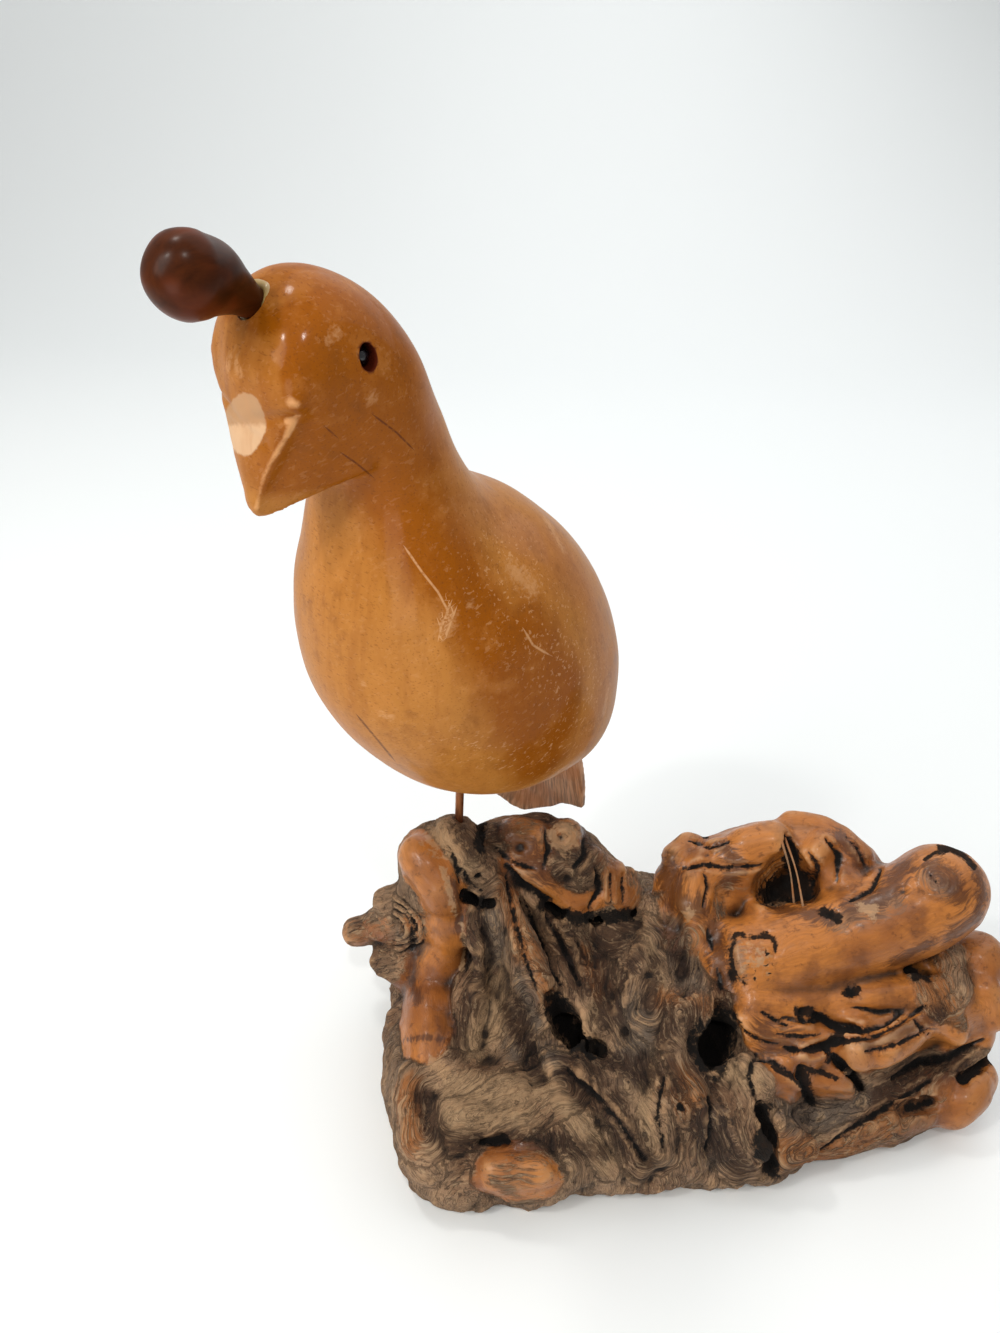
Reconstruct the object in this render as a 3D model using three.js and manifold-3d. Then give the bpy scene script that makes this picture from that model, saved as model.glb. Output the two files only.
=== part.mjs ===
// A carved quail on a wire leg, standing on a gnarled root burl.
// Millimetres, +Z up, the front of the burl towards -Y. The rod's foot is on the axis X = 0, Y = 0
// until the last lines, which centre the whole object over its own footprint.
import * as THREE from "three";
import { ConvexGeometry } from "three/addons/geometries/ConvexGeometry.js";
import { mergeVertices } from "three/addons/utils/BufferGeometryUtils.js";
import Module from "manifold-3d";

const wasm = await Module();
wasm.setup();

// Driving dimensions.
const GAP = 0.3; // clearance between neighbouring pieces
const FOOT_Z = 75; // height of the burl's top where the rod enters it
const FACING = THREE.MathUtils.degToRad(-46); // the bird looks to the left of the front
const ROD_RADIUS = 1.2;
const ROD_IN_BASE = 12;
const ROD_IN_BODY = 34; // how far above the foot the rod ends, inside the body
const TAIL_THICK = 3.2;
const EYE_HOLE_RADIUS = 3.0;
const EYE_RADIUS = 2.3;
const CREST_ROOT_RADIUS = 2.7;

// The bird faces -Y in its own group, so a side view point (forward, height) becomes (x, -forward, height).
const at = (forward, height, left = 0) => new THREE.Vector3(left, -forward, height);

// Solids

function solid(geometry) {
  const g = geometry.clone();
  g.deleteAttribute("normal");
  g.deleteAttribute("uv");
  const merged = mergeVertices(g, 1e-4);
  const triVerts = new Uint32Array(merged.index.array);
  const made = manifoldOf(merged, triVerts);
  if (made.volume() > 0) return made;
  for (let i = 0; i < triVerts.length; i += 3) {
    const swap = triVerts[i + 1];
    triVerts[i + 1] = triVerts[i + 2];
    triVerts[i + 2] = swap;
  }
  return manifoldOf(merged, triVerts);
}

function manifoldOf(geometry, triVerts) {
  const vertProperties = geometry.attributes.position.array;
  return new wasm.Manifold(new wasm.Mesh({ numProp: 3, vertProperties, triVerts }));
}

function geometryOf(manifold) {
  const mesh = manifold.getMesh();
  const geometry = new THREE.BufferGeometry();
  geometry.setAttribute("position", new THREE.BufferAttribute(new Float32Array(mesh.vertProperties), 3));
  geometry.setIndex(new THREE.BufferAttribute(new Uint32Array(mesh.triVerts), 1));
  const flat = geometry.toNonIndexed();
  flat.computeVertexNormals();
  return flat;
}

function union(list) {
  return list.reduce((whole, next) => whole.add(next));
}

// A unit sphere whose poles are the ends of a run: place(angle, run) says where each point goes.
function shapedSphere(around, along, place) {
  const geometry = new THREE.SphereGeometry(1, around, along);
  const p = geometry.attributes.position;
  const v = new THREE.Vector3();
  for (let i = 0; i < p.count; i += 1) {
    v.fromBufferAttribute(p, i);
    const run = Math.acos(THREE.MathUtils.clamp(v.y, -1, 1)) / Math.PI;
    const pole = run < 1e-4 || run > 1 - 1e-4;
    const angle = pole ? 0 : Math.atan2(v.z, v.x);
    const target = place(angle, run);
    p.setXYZ(i, target.x, target.y, target.z);
  }
  return geometry;
}

// A rounded limb along a curve through the given [x, y, z, radius] stops.
function limb(stops, around = 14, along = 10) {
  const path = new THREE.CatmullRomCurve3(stops.map(([x, y, z]) => new THREE.Vector3(x, y, z)));
  const radii = new THREE.SplineCurve(stops.map(([, , , r], i) => new THREE.Vector2(i, r)));
  const first = stops[0][3];
  const last = stops[stops.length - 1][3];
  const length = path.getLength();
  const side = new THREE.Vector3();
  const up = new THREE.Vector3();
  const geometry = shapedSphere(around, along, (angle, run) => {
    // The caps reach past the first and the last stop by their own radius.
    const s = -first + (length + first + last) * (0.5 - 0.5 * Math.cos(run * Math.PI));
    const t = THREE.MathUtils.clamp(s / length, 0, 1);
    const over = s < 0 ? s / first : Math.max(0, s - length) / last;
    const centre = path.getPoint(t);
    const tangent = path.getTangent(t);
    const radius = radii.getPoint(t).y * Math.sqrt(Math.max(0, 1 - over * over));
    side.set(0, 0, 1).cross(tangent);
    if (side.lengthSq() < 0.02) side.set(1, 0, 0);
    side.normalize();
    up.crossVectors(tangent, side).normalize();
    centre.addScaledVector(tangent, s < 0 ? s : Math.max(0, s - length));
    centre.addScaledVector(side, radius * Math.cos(angle));
    centre.addScaledVector(up, radius * Math.sin(angle));
    return centre;
  });
  return solid(geometry);
}

function lump(x, y, z, rx, ry, rz, segments = 11) {
  const geometry = new THREE.SphereGeometry(1, segments, Math.round(segments * 0.7));
  geometry.rotateX(Math.PI / 2);
  geometry.scale(rx, ry, rz);
  geometry.translate(x, y, z);
  return solid(geometry);
}

// Bird: body, neck and head in one carved loft.
// Each stop is [back forward, back height, belly forward, belly height, half width].
const BODY_STOPS = [
  [-40.5, 38.5, -24.0, 22.0, 17.0],
  [-42.5, 53.0, -4.0, 21.0, 28.0],
  [-38.5, 71.0, 16.0, 27.5, 34.5],
  [-28.0, 88.0, 30.0, 41.0, 36.8],
  [-13.0, 101.5, 40.5, 61.0, 34.3],
  [2.0, 110.0, 42.0, 81.0, 27.0],
  [9.5, 119.5, 39.5, 98.0, 20.8],
  [15.0, 132.0, 37.5, 109.0, 17.8],
  [22.0, 145.0, 37.0, 116.5, 18.4],
  [32.0, 154.4, 40.0, 119.0, 19.2],
  [43.0, 157.3, 43.5, 122.5, 18.4],
  [51.8, 152.0, 48.5, 128.0, 16.8],
  [55.2, 144.0, 53.0, 134.5, 12.8],
];
const BODY_POLE = [-35.5, 26.5];
const HEAD_POLE = [55.6, 138.5];
const HEAD_TAPER = 0.16; // how much narrower the head is at the chin than an ellipse would be

// One closed side-view line: belly, tail root, back and head. Its y holds the signed half width.
function bodyLoft(around, along) {
  const points = [new THREE.Vector3(HEAD_POLE[0], 0, HEAD_POLE[1])];
  for (const s of [...BODY_STOPS].reverse()) points.push(new THREE.Vector3(s[2], -s[4], s[3]));
  points.push(new THREE.Vector3(BODY_POLE[0], 0, BODY_POLE[1]));
  for (const s of BODY_STOPS) points.push(new THREE.Vector3(s[0], s[4], s[1]));
  points.push(new THREE.Vector3(HEAD_POLE[0], 0, HEAD_POLE[1]));
  const line = new THREE.CatmullRomCurve3(points, false, "catmullrom", 0.5);
  return shapedSphere(around, along, (angle, run) => {
    const back = line.getPoint(0.5 + 0.5 * run);
    const belly = line.getPoint(0.5 - 0.5 * run);
    const blend = 0.5 + 0.5 * Math.cos(angle);
    const taper = HEAD_TAPER * THREE.MathUtils.smoothstep(run, 0.6, 0.8) * (1 - blend);
    const across = 0.5 * (back.y - belly.y) * Math.sin(angle) * (1 - taper);
    const forward = belly.x + (back.x - belly.x) * blend;
    const height = belly.z + (back.z - belly.z) * blend;
    return at(forward, height, across);
  });
}

// Bill: a wedge with a nearly flat face, sharp side ridges and flat cheeks.
const BILL = {
  culmen: [[53.4, 138.0], [55.2, 129.5], [55.8, 121.5], [55.2, 115.5], [53.7, 111.7]],
  ridge: [[50.6, 137.2, 14.0], [53.2, 128.6, 9.0], [54.6, 122.4, 5.4], [54.6, 115.5, 1.8]],
  jaw: [[47.1, 117.0, 6.0], [40.0, 121.0, 11.0], [36.2, 122.0, 14.0]],
  temple: [[52.7, 137.9, 12.0], [52.3, 132.7, 11.6]],
  inside: [[38.0, 134.0, 14.5], [43.0, 141.0, 7.0]],
};

function bill() {
  const points = BILL.culmen.map(([f, z]) => at(f, z));
  for (const [f, z, l] of [...BILL.ridge, ...BILL.jaw, ...BILL.temple, ...BILL.inside]) {
    points.push(at(f, z, l));
    points.push(at(f, z, -l));
  }
  return solid(new ConvexGeometry(points));
}

// Eyes: a drilled hole in each side of the head, with a glass bead low in it.
const EYE = { forward: 38.6, height: 144.6, across: 16.4, depth: 4.8 };

function eyeHole(side) {
  const drill = new THREE.CylinderGeometry(EYE_HOLE_RADIUS, EYE_HOLE_RADIUS, 14, 16);
  drill.rotateZ(Math.PI / 2);
  drill.translate(side * (EYE.across - EYE.depth + 7), -EYE.forward, EYE.height);
  return solid(drill);
}

function eyeBead(side) {
  const bead = new THREE.SphereGeometry(EYE_RADIUS, 14, 9);
  const lift = EYE_HOLE_RADIUS - EYE_RADIUS - GAP;
  const across = EYE.across - EYE.depth + EYE_RADIUS + GAP;
  bead.translate(side * across, -EYE.forward, EYE.height - lift);
  return bead;
}

// Topknot: a short teardrop, its narrow end glued into the forehead.
const CREST_STOPS = [
  [48.6, 150.6, 0, 2.7],
  [51.2, 152.2, 0.2, 3.0],
  [54.4, 154.4, 0.7, 4.2],
  [58.4, 156.6, 1.3, 6.2],
  [62.6, 157.8, 2.0, 7.2],
];
const CREST_SOCKET_DEPTH = 3.6;

function crestShape(grow) {
  const stops = CREST_STOPS.map(([f, z, l, r]) => [l, -f, z, r + grow]);
  return limb(stops, 18, 12);
}

function crestSocket() {
  const [from, to] = [CREST_STOPS[0], CREST_STOPS[1]];
  const a = at(from[0], from[1], from[2]);
  const b = at(to[0], to[1], to[2]);
  const along = b.clone().sub(a).normalize();
  const reach = 16;
  const socket = new THREE.CylinderGeometry(CREST_ROOT_RADIUS + 0.9, CREST_ROOT_RADIUS + 0.9, reach, 18);
  const turn = new THREE.Quaternion().setFromUnitVectors(new THREE.Vector3(0, 1, 0), along);
  socket.applyQuaternion(turn);
  const middle = a.clone().addScaledVector(along, reach / 2 - CREST_SOCKET_DEPTH);
  socket.translate(middle.x, middle.y, middle.z);
  return solid(socket);
}

// Tail: a thin fan set in a slot under the rump, its lower edge chipped on one side.
const TAIL = { forward: -34.1, height: 34, lean: 82, turn: 10 };
// Half outlines as [distance down the tail, across].
const TAIL_OUTLINE = [
  [0, -6.5], [10, -8.5], [22, -12.0], [34, -17.0], [44, -21.2], [50, -22.0], [56, -19.6],
  [60, -14.0], [60.8, -10.5], [58.2, -7.0], [55.4, -3.0], [52.6, 0.5], [48.6, 4.0],
  [45.8, 8.5], [44.2, 13.1], [34, 12.2], [22, 10.2], [10, 8.4], [0, 6.5],
];

function tailPlate(grow, from) {
  const shape = new THREE.Shape();
  const side = (l) => l + Math.sign(l) * grow;
  shape.moveTo(side(TAIL_OUTLINE[0][1]), -from);
  for (const [d, l] of TAIL_OUTLINE.slice(1, -1)) shape.lineTo(side(l), -d);
  shape.lineTo(side(TAIL_OUTLINE[TAIL_OUTLINE.length - 1][1]), -from);
  const depth = TAIL_THICK + 2 * grow;
  const plate = new THREE.ExtrudeGeometry(shape, { depth, bevelEnabled: false });
  plate.translate(0, 0, -depth / 2);
  // Stand the plate up: its length hangs down and back, its face looks forward and down.
  plate.rotateX(THREE.MathUtils.degToRad(180 - TAIL.lean));
  plate.rotateZ(THREE.MathUtils.degToRad(TAIL.turn));
  plate.translate(0, -TAIL.forward, TAIL.height);
  return plate;
}

// Leg: one straight wire from the burl into the belly.
function rodShape(radius, below, above, segments = 16) {
  const rod = new THREE.CylinderGeometry(radius, radius, below + above, segments);
  rod.rotateX(Math.PI / 2);
  rod.translate(0, 0, (above - below) / 2);
  return rod;
}

// Burl: limbs as [x, y, z, radius] stops, heights above the table.
const BURL_LIMBS = {
  post: [[0, 4, 4, 19], [-3, 0, 32, 15], [-5, -4, 61.5, 12]],
  band: [[-6, -9, 60, 9.5], [0, -15, 50, 9], [0, -22, 34, 9], [-4, -37, 17, 8.5]],
  peg: [[-6, -6, 47, 10], [-17, -6, 40, 8], [-23, -5.5, 35, 4.6], [-30, -5, 31.5, 3.6]],
  leftFlank: [[-1, -8, 6, 18], [1, -36, 8, 19], [6, -56, 8, 18]],
  lobe: [[10, 6, 56, 11], [28, 8, 54.5, 12], [44, 8, 45.5, 10], [56, 1, 34, 7.5]],
  ridge: [[8, -12, 50, 8], [16, -18, 40, 8.5], [25, -27, 28, 9], [32, -40, 16, 10]],
  shoulder: [[6, 4, 34, 15], [30, 3, 33, 16], [52, -2, 26, 14]],
  backLeft: [[8, 14, 10, 20], [40, 15, 16, 19], [70, 12, 18, 18]],
  heart: [[20, -20, 12, 26], [54, -22, 16, 25], [92, -18, 18, 27], [124, -12, 16, 24]],
  backRight: [[84, 8, 24, 20], [112, 8, 26, 20], [132, 3, 24, 17]],
  underFinger: [[92, -8, 30, 15], [116, -4, 36, 14], [138, -2, 42, 11]],
  ringLeft: [[72, -8, 40, 12], [75, 5, 40, 11.5]],
  ringBack: [[77, 8, 41, 10], [89, 10, 50, 10.5], [106, 10, 54.5, 11], [124, 6, 50, 10.5]],
  finger: [[77, -15, 40, 13], [96, -13, 43.5, 12.5], [114, -10, 48, 12.5], [141, -5, 60, 12.8]],
  layer: [[98, -28, 25, 14], [118, -25, 27, 15], [140, -20, 30, 14], [154, -15, 31.5, 12]],
  ledge: [[106, -40, 10, 16], [128, -36, 10, 15], [147, -26, 12, 14]],
  frontMid: [[30, -50, 10, 20], [56, -46, 12, 21], [88, -44, 12, 20]],
};
const BURL_LUMPS = [
  [0.5, 0.5, 70.4, 4.8, 4.8, 4.8],
  [-13, -9, 26, 10, 10, 10],
  [24, -60, 12, 20, 14, 15],
  [91, 9, 57, 8, 7, 7],
  [112, 9, 56, 9, 8, 9],
  [148, -34, 13, 9, 8, 9],
  [154, -22, 22, 10, 10, 10],
  [157, -12, 40, 9, 9, 10],
  [98, -39, 30, 8, 8, 8],
  [114, -37, 33, 9, 8, 9],
];
// Open hollows, cut in along the line of sight of the front: [x, y, z, radius] stops.
const BURL_HOLLOWS = {
  ringHole: [[99, -4, 72, 8], [99, -1, 54, 7.5], [99, 1, 40, 5]],
  slotLeft: [[33, -46, 42, 4], [38, -38, 28, 5], [42, -28, 18, 4]],
  pitMiddle: [[74, -48, 42, 4], [77, -38, 29, 6], [79, -28, 19, 4]],
  slitRight: [[88, -72, 32, 3], [91, -58, 20, 4], [93, -48, 14, 3]],
};

function burl() {
  const masses = Object.values(BURL_LIMBS).map((stops) => limb(stops, 13, 9));
  const lumps = BURL_LUMPS.map((l) => lump(...l));
  const hollows = Object.values(BURL_HOLLOWS).map((stops) => limb(stops, 10, 7));
  const table = new THREE.BoxGeometry(600, 600, 100);
  table.translate(0, 0, -50);
  const drill = rodShape(ROD_RADIUS + GAP, ROD_IN_BASE + GAP, 20);
  drill.translate(0, 0, FOOT_Z);
  return union([...masses, ...lumps])
    .subtract(union(hollows))
    .subtract(solid(table))
    .subtract(solid(drill));
}

// Finishes

const finish = (color, roughness, metalness) =>
  new THREE.MeshStandardMaterial({ color, roughness, metalness });
const CARVED_WOOD = finish(0xb8742c, 0.35, 0);
const DARK_WOOD = finish(0x5a3420, 0.3, 0);
const TAIL_WOOD = finish(0x6b4a3a, 0.45, 0);
const ROOT_WOOD = finish(0x7a5638, 0.6, 0);
const BROWN_METAL = finish(0x6a3f1c, 0.4, 1);
const BLACK_GLASS = finish(0x0b0b0d, 0.12, 0);

// Assembly

const root = new THREE.Group();

function add(parent, name, geometry, material) {
  const mesh = new THREE.Mesh(geometry, material);
  mesh.name = name;
  parent.add(mesh);
  return mesh;
}

const bird = new THREE.Group();
bird.rotation.z = FACING;
bird.position.z = FOOT_Z;
root.add(bird);

const rodHole = solid(rodShape(ROD_RADIUS + GAP, 20, ROD_IN_BODY + GAP));
const slot = solid(tailPlate(GAP, -GAP));
const bodySolid = solid(bodyLoft(36, 42))
  .add(bill())
  .subtract(rodHole)
  .subtract(slot)
  .subtract(eyeHole(1))
  .subtract(eyeHole(-1))
  .subtract(crestSocket());

add(bird, "quail_body", geometryOf(bodySolid), CARVED_WOOD);
add(bird, "topknot", geometryOf(crestShape(0)), DARK_WOOD);
add(bird, "tail", geometryOf(solid(tailPlate(0, 0))), TAIL_WOOD);
add(bird, "left_eye", eyeBead(1), BLACK_GLASS);
add(bird, "right_eye", eyeBead(-1), BLACK_GLASS);
add(bird, "leg_rod", rodShape(ROD_RADIUS, ROD_IN_BASE, ROD_IN_BODY), BROWN_METAL);
add(root, "burl_base", geometryOf(burl()), ROOT_WOOD);

// Centre the object over its footprint, underside on Z = 0.
root.updateMatrixWorld(true);
const box = new THREE.Box3().setFromObject(root, true);
const centre = box.getCenter(new THREE.Vector3());
root.position.set(-centre.x, -centre.y, -box.min.z);

export default root;
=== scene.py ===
"""A carved wood quail on a wire leg above a gnarled root burl, built round its CAD frame.

Object sizes are in millimetres and become metres in the meshes. Pixel places are those of the
1000 by 1333 picture that the stage camera takes, and are cast from it onto the pieces.
"""
import math

import bpy
import numpy as np
from mathutils import Matrix, Vector
from mathutils.bvhtree import BVHTree


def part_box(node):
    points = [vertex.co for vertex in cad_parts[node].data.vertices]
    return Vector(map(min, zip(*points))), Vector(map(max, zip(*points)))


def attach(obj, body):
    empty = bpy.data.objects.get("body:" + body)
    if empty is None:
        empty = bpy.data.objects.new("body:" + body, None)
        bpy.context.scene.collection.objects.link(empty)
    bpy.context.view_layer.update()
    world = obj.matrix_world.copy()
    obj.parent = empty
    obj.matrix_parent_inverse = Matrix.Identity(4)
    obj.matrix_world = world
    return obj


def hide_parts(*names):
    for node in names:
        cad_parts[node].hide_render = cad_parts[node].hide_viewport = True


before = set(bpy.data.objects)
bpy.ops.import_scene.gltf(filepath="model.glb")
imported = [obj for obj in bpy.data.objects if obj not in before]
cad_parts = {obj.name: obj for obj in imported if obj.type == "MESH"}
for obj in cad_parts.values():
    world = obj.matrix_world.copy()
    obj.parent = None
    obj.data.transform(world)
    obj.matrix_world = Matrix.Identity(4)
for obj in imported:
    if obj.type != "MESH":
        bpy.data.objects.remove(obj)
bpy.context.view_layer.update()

bl_info = {
    "name": "Carved Quail on Burl",
    "version": (1, 0, 0),
    "blender": (4, 5, 0),
    "location": "View3D > Sidebar > Quail",
    "description": "Builds a carved wood quail, its wire leg and its root burl round the CAD frame",
    "category": "Add Mesh",
}

MM = 0.001
BODY = "root"

# The foot is where the wire enters the burl. The bird's places are measured from it, and the burl's
# from the table straight below it.
ROD_LOW, ROD_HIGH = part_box("leg_rod")
ROD_RADIUS = 0.5 * (ROD_HIGH.x - ROD_LOW.x) / MM
ROD_IN_BASE, ROD_TOP = 12.0, 34.0
ROD_PLAY, ROD_END_PLAY = 0.1, 0.2
FOOT = Vector((0.5 * (ROD_LOW.x + ROD_HIGH.x), 0.5 * (ROD_LOW.y + ROD_HIGH.y), ROD_LOW.z + ROD_IN_BASE * MM))
BURL_ORIGIN = np.array([FOOT.x, FOOT.y, 0.0])
FACING = math.radians(-46.0)
LEFT = np.array([math.cos(FACING), math.sin(FACING), 0])
FORWARD = np.array([math.sin(FACING), -math.cos(FACING), 0])

# Body: [back forward, back height, belly forward, belly height, half width], heights above the foot.
BODY_STOPS = [
    [-40.5, 38.5, -24.0, 22.0, 17.0],
    [-42.5, 53.0, -4.0, 21.0, 28.0],
    [-38.5, 71.0, 16.0, 27.5, 34.5],
    [-28.0, 88.0, 30.0, 41.0, 36.8],
    [-13.0, 101.5, 40.5, 61.0, 34.3],
    [2.0, 110.0, 42.0, 81.0, 27.0],
    [9.5, 119.5, 39.5, 98.0, 20.8],
    [15.0, 132.0, 37.5, 109.0, 17.8],
    [22.0, 145.0, 37.0, 116.5, 18.4],
    [32.0, 154.4, 40.0, 119.0, 19.2],
    [43.0, 157.3, 43.5, 122.5, 18.4],
    [51.8, 152.0, 48.5, 128.0, 16.8],
    [55.2, 144.0, 53.0, 134.5, 12.8],
]
BODY_POLE = [-35.5, 26.5]
HEAD_POLE = [55.6, 138.5]
# How much narrower the head's belly side is than its back.
HEAD_TAPER = 0.16

# Bill: [forward, height, left] points of a wedge with a flat face and sharp side ridges.
CULMEN = [[53.4, 138.0, 0], [55.2, 129.5, 0], [55.8, 121.5, 0], [55.6, 115.3, 0], [54.8, 111.2, 0]]
BILL_RIDGE = [[50.6, 137.2, 14.0], [53.2, 128.6, 9.0], [54.7, 122.4, 5.2], [55.2, 115.0, 2.0]]
BILL_JAW = [[47.1, 117.0, 6.0], [40.0, 121.0, 11.0], [36.2, 122.0, 14.0]]
BILL_TEMPLE = [[52.7, 137.9, 12.0], [52.3, 132.7, 11.6]]
BILL_INSIDE = [[38.0, 134.0, 14.5], [43.0, 141.0, 7.0]]
# The forehead's bulge above the bill, as [forward, height, left, radius]; its lower edge makes the crease.
BROW_STOPS = [[46.6, 138.4, -5.4, 8.3], [47.2, 139.8, 0.0, 8.8], [46.6, 142.4, 5.6, 8.0]]
# Where the bill is smoothed again: [forward, height, left] and a reach in mm.
SOFTENED = [([50.6, 137.2, -14.0], 5), (CULMEN[-1], 2.2)]
# Relief on the bird, as (on both sides, reach in mm, rise in mm, pixels along it).
BODY_RELIEF = [
    (True, 1.0, -0.55, [(230, 424), (245, 423), (262, 419), (280, 417), (292, 417)]),
    (True, 2.4, 0.5, [(236, 411), (250, 408), (268, 406), (282, 406)]),
    (False, 1.7, 0.8, [(297, 404)]),
    (True, 2.4, -0.6, [(307, 428), (298, 448), (287, 467), (277, 484), (268, 500)]),
    (True, 17.0, 1.5, [(540, 774), (562, 765), (582, 750)]),
    (False, 5.0, -0.9, [(212, 340), (213, 356)]),
    (False, 3.0, -0.5, [(218, 380)]),
    (False, 2.4, 0.35, [(225, 397)]),
]

# The drilled eye holes, and how narrow they are from front to back.
EYE_FORWARD, EYE_HEIGHT, EYE_ACROSS, EYE_DEPTH = 38.6, 144.6, 16.4, 4.8
EYE_HOLE_RADIUS, EYE_HOLE_NARROWING = 2.35, 0.76
# The topknot as [forward, height, left, radius], its socket, and the ring of glue round its root.
CREST_STOPS = [
    [48.6, 150.6, 0, 2.7],
    [51.2, 152.2, 0.2, 3.0],
    [54.4, 154.4, 0.7, 4.2],
    [58.4, 156.6, 1.3, 6.2],
    [62.6, 157.8, 2.0, 7.2],
]
SOCKET_RADIUS, SOCKET_DEPTH, SOCKET_OUTSIDE = 3.5, 3.7, 12
GLUE_RADIUS, GLUE_THICKNESS, GLUE_LIFT = 3.4, 0.95, 1.6
TAIL_FORWARD, TAIL_HEIGHT = -34.1, 34.0
TAIL_LEAN, TAIL_TURN = math.radians(82.0), math.radians(10.0)
TAIL_PLAY, TAIL_SLOT_DEPTH = 0.1, 6
# The ribs spread from a place this far above the fan.
TAIL_HUB, TAIL_RIBS = 26, 62
# The fan's edge as [distance down the tail, across].
TAIL_OUTLINE = [
    [0, -6.5], [10, -8.5], [22, -12.0], [34, -17.0], [44, -21.2], [50, -22.0], [56, -19.6],
    [60, -14.0], [60.8, -10.5], [58.2, -7.0], [55.4, -3.0], [52.6, 0.5], [48.6, 4.0],
    [45.8, 8.5], [44.2, 13.1], [34, 12.2], [22, 10.2], [10, 8.4], [0, 6.5],
]

# Burl: each growth is (polish, fibre direction, [x, y, z, radius] stops).
BURL_GROWTHS = [
    (0.3, "along", [[0, 4, 4, 19], [-3, 0, 32, 15], [-5, -3, 61, 12]]),
    (0.4, "along", [[-6, -6, 47, 10], [-17, -6, 40, 8], [-23, -5.5, 35, 5.2], [-31, -5, 31.5, 4.2]]),
    (0.1, "round", [[-1, -8, 6, 18], [1, -36, 8, 19], [6, -56, 8, 18]]),
    (0.3, "along", [[12, 6, 56, 11], [28, 8, 55, 11.6], [38, 8, 49, 10], [50, 6, 40, 8], [57, 2, 34, 7.5]]),
    (0.25, "along", [[8, -12, 50, 8], [16, -18, 40, 8.5], [25, -27, 28, 9], [32, -40, 16, 10]]),
    (0.05, "round", [[6, 4, 34, 15], [30, 3, 33, 16], [52, -2, 26, 14]]),
    (0.15, "round", [[8, 14, 10, 20], [40, 15, 16, 19], [70, 12, 18, 18]]),
    (0.0, "round", [[20, -20, 12, 26], [54, -22, 16, 25], [92, -18, 18, 27], [124, -12, 16, 24]]),
    (0.3, "along", [[84, 8, 24, 20], [112, 8, 26, 20], [132, 3, 24, 17]]),
    (0.4, "along", [[92, -8, 30, 15], [116, -4, 36, 14], [138, -2, 42, 11]]),
    (0.5, "along", [[72, -8, 40, 12], [72, 2, 46, 10.5]]),
    (0.75, "along", [[70, 5, 50, 9], [86, 9, 54, 11], [105, 10, 58, 11.4], [120, 8, 55, 10.6]]),
    (1.0, "along", [[84.5, -18, 41.5, 12.2], [100, -15, 44.5, 13.2], [117, -11, 49.5, 13.2],
                    [134, -8, 57.3, 14], [142, -5, 62.2, 13.8]]),
    (0.85, "along", [[98, -28, 25, 14], [118, -25, 27, 15], [140, -20, 30, 14], [154, -15, 31.5, 12]]),
    (0.3, "along", [[106, -40, 10, 16], [128, -36, 10, 15], [147, -26, 12, 14]]),
    (0.0, "round", [[30, -50, 10, 20], [56, -46, 12, 21], [88, -44, 12, 20]]),
]
# Round lumps on it: [x, y, z, radii].
BURL_LUMPS = [
    [0.5, 0.5, 70.4, 4.8, 4.8, 4.8],
    [-13, -9, 26, 10, 10, 10],
    [24, -60, 12, 20, 14, 15],
    [148, -34, 13, 9, 8, 9],
    [154, -22, 22, 10, 10, 10],
    [157, -12, 40, 9, 9, 10],
    [98, -39, 30, 8, 8, 8],
    [114, -37, 33, 9, 8, 9],
]
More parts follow.
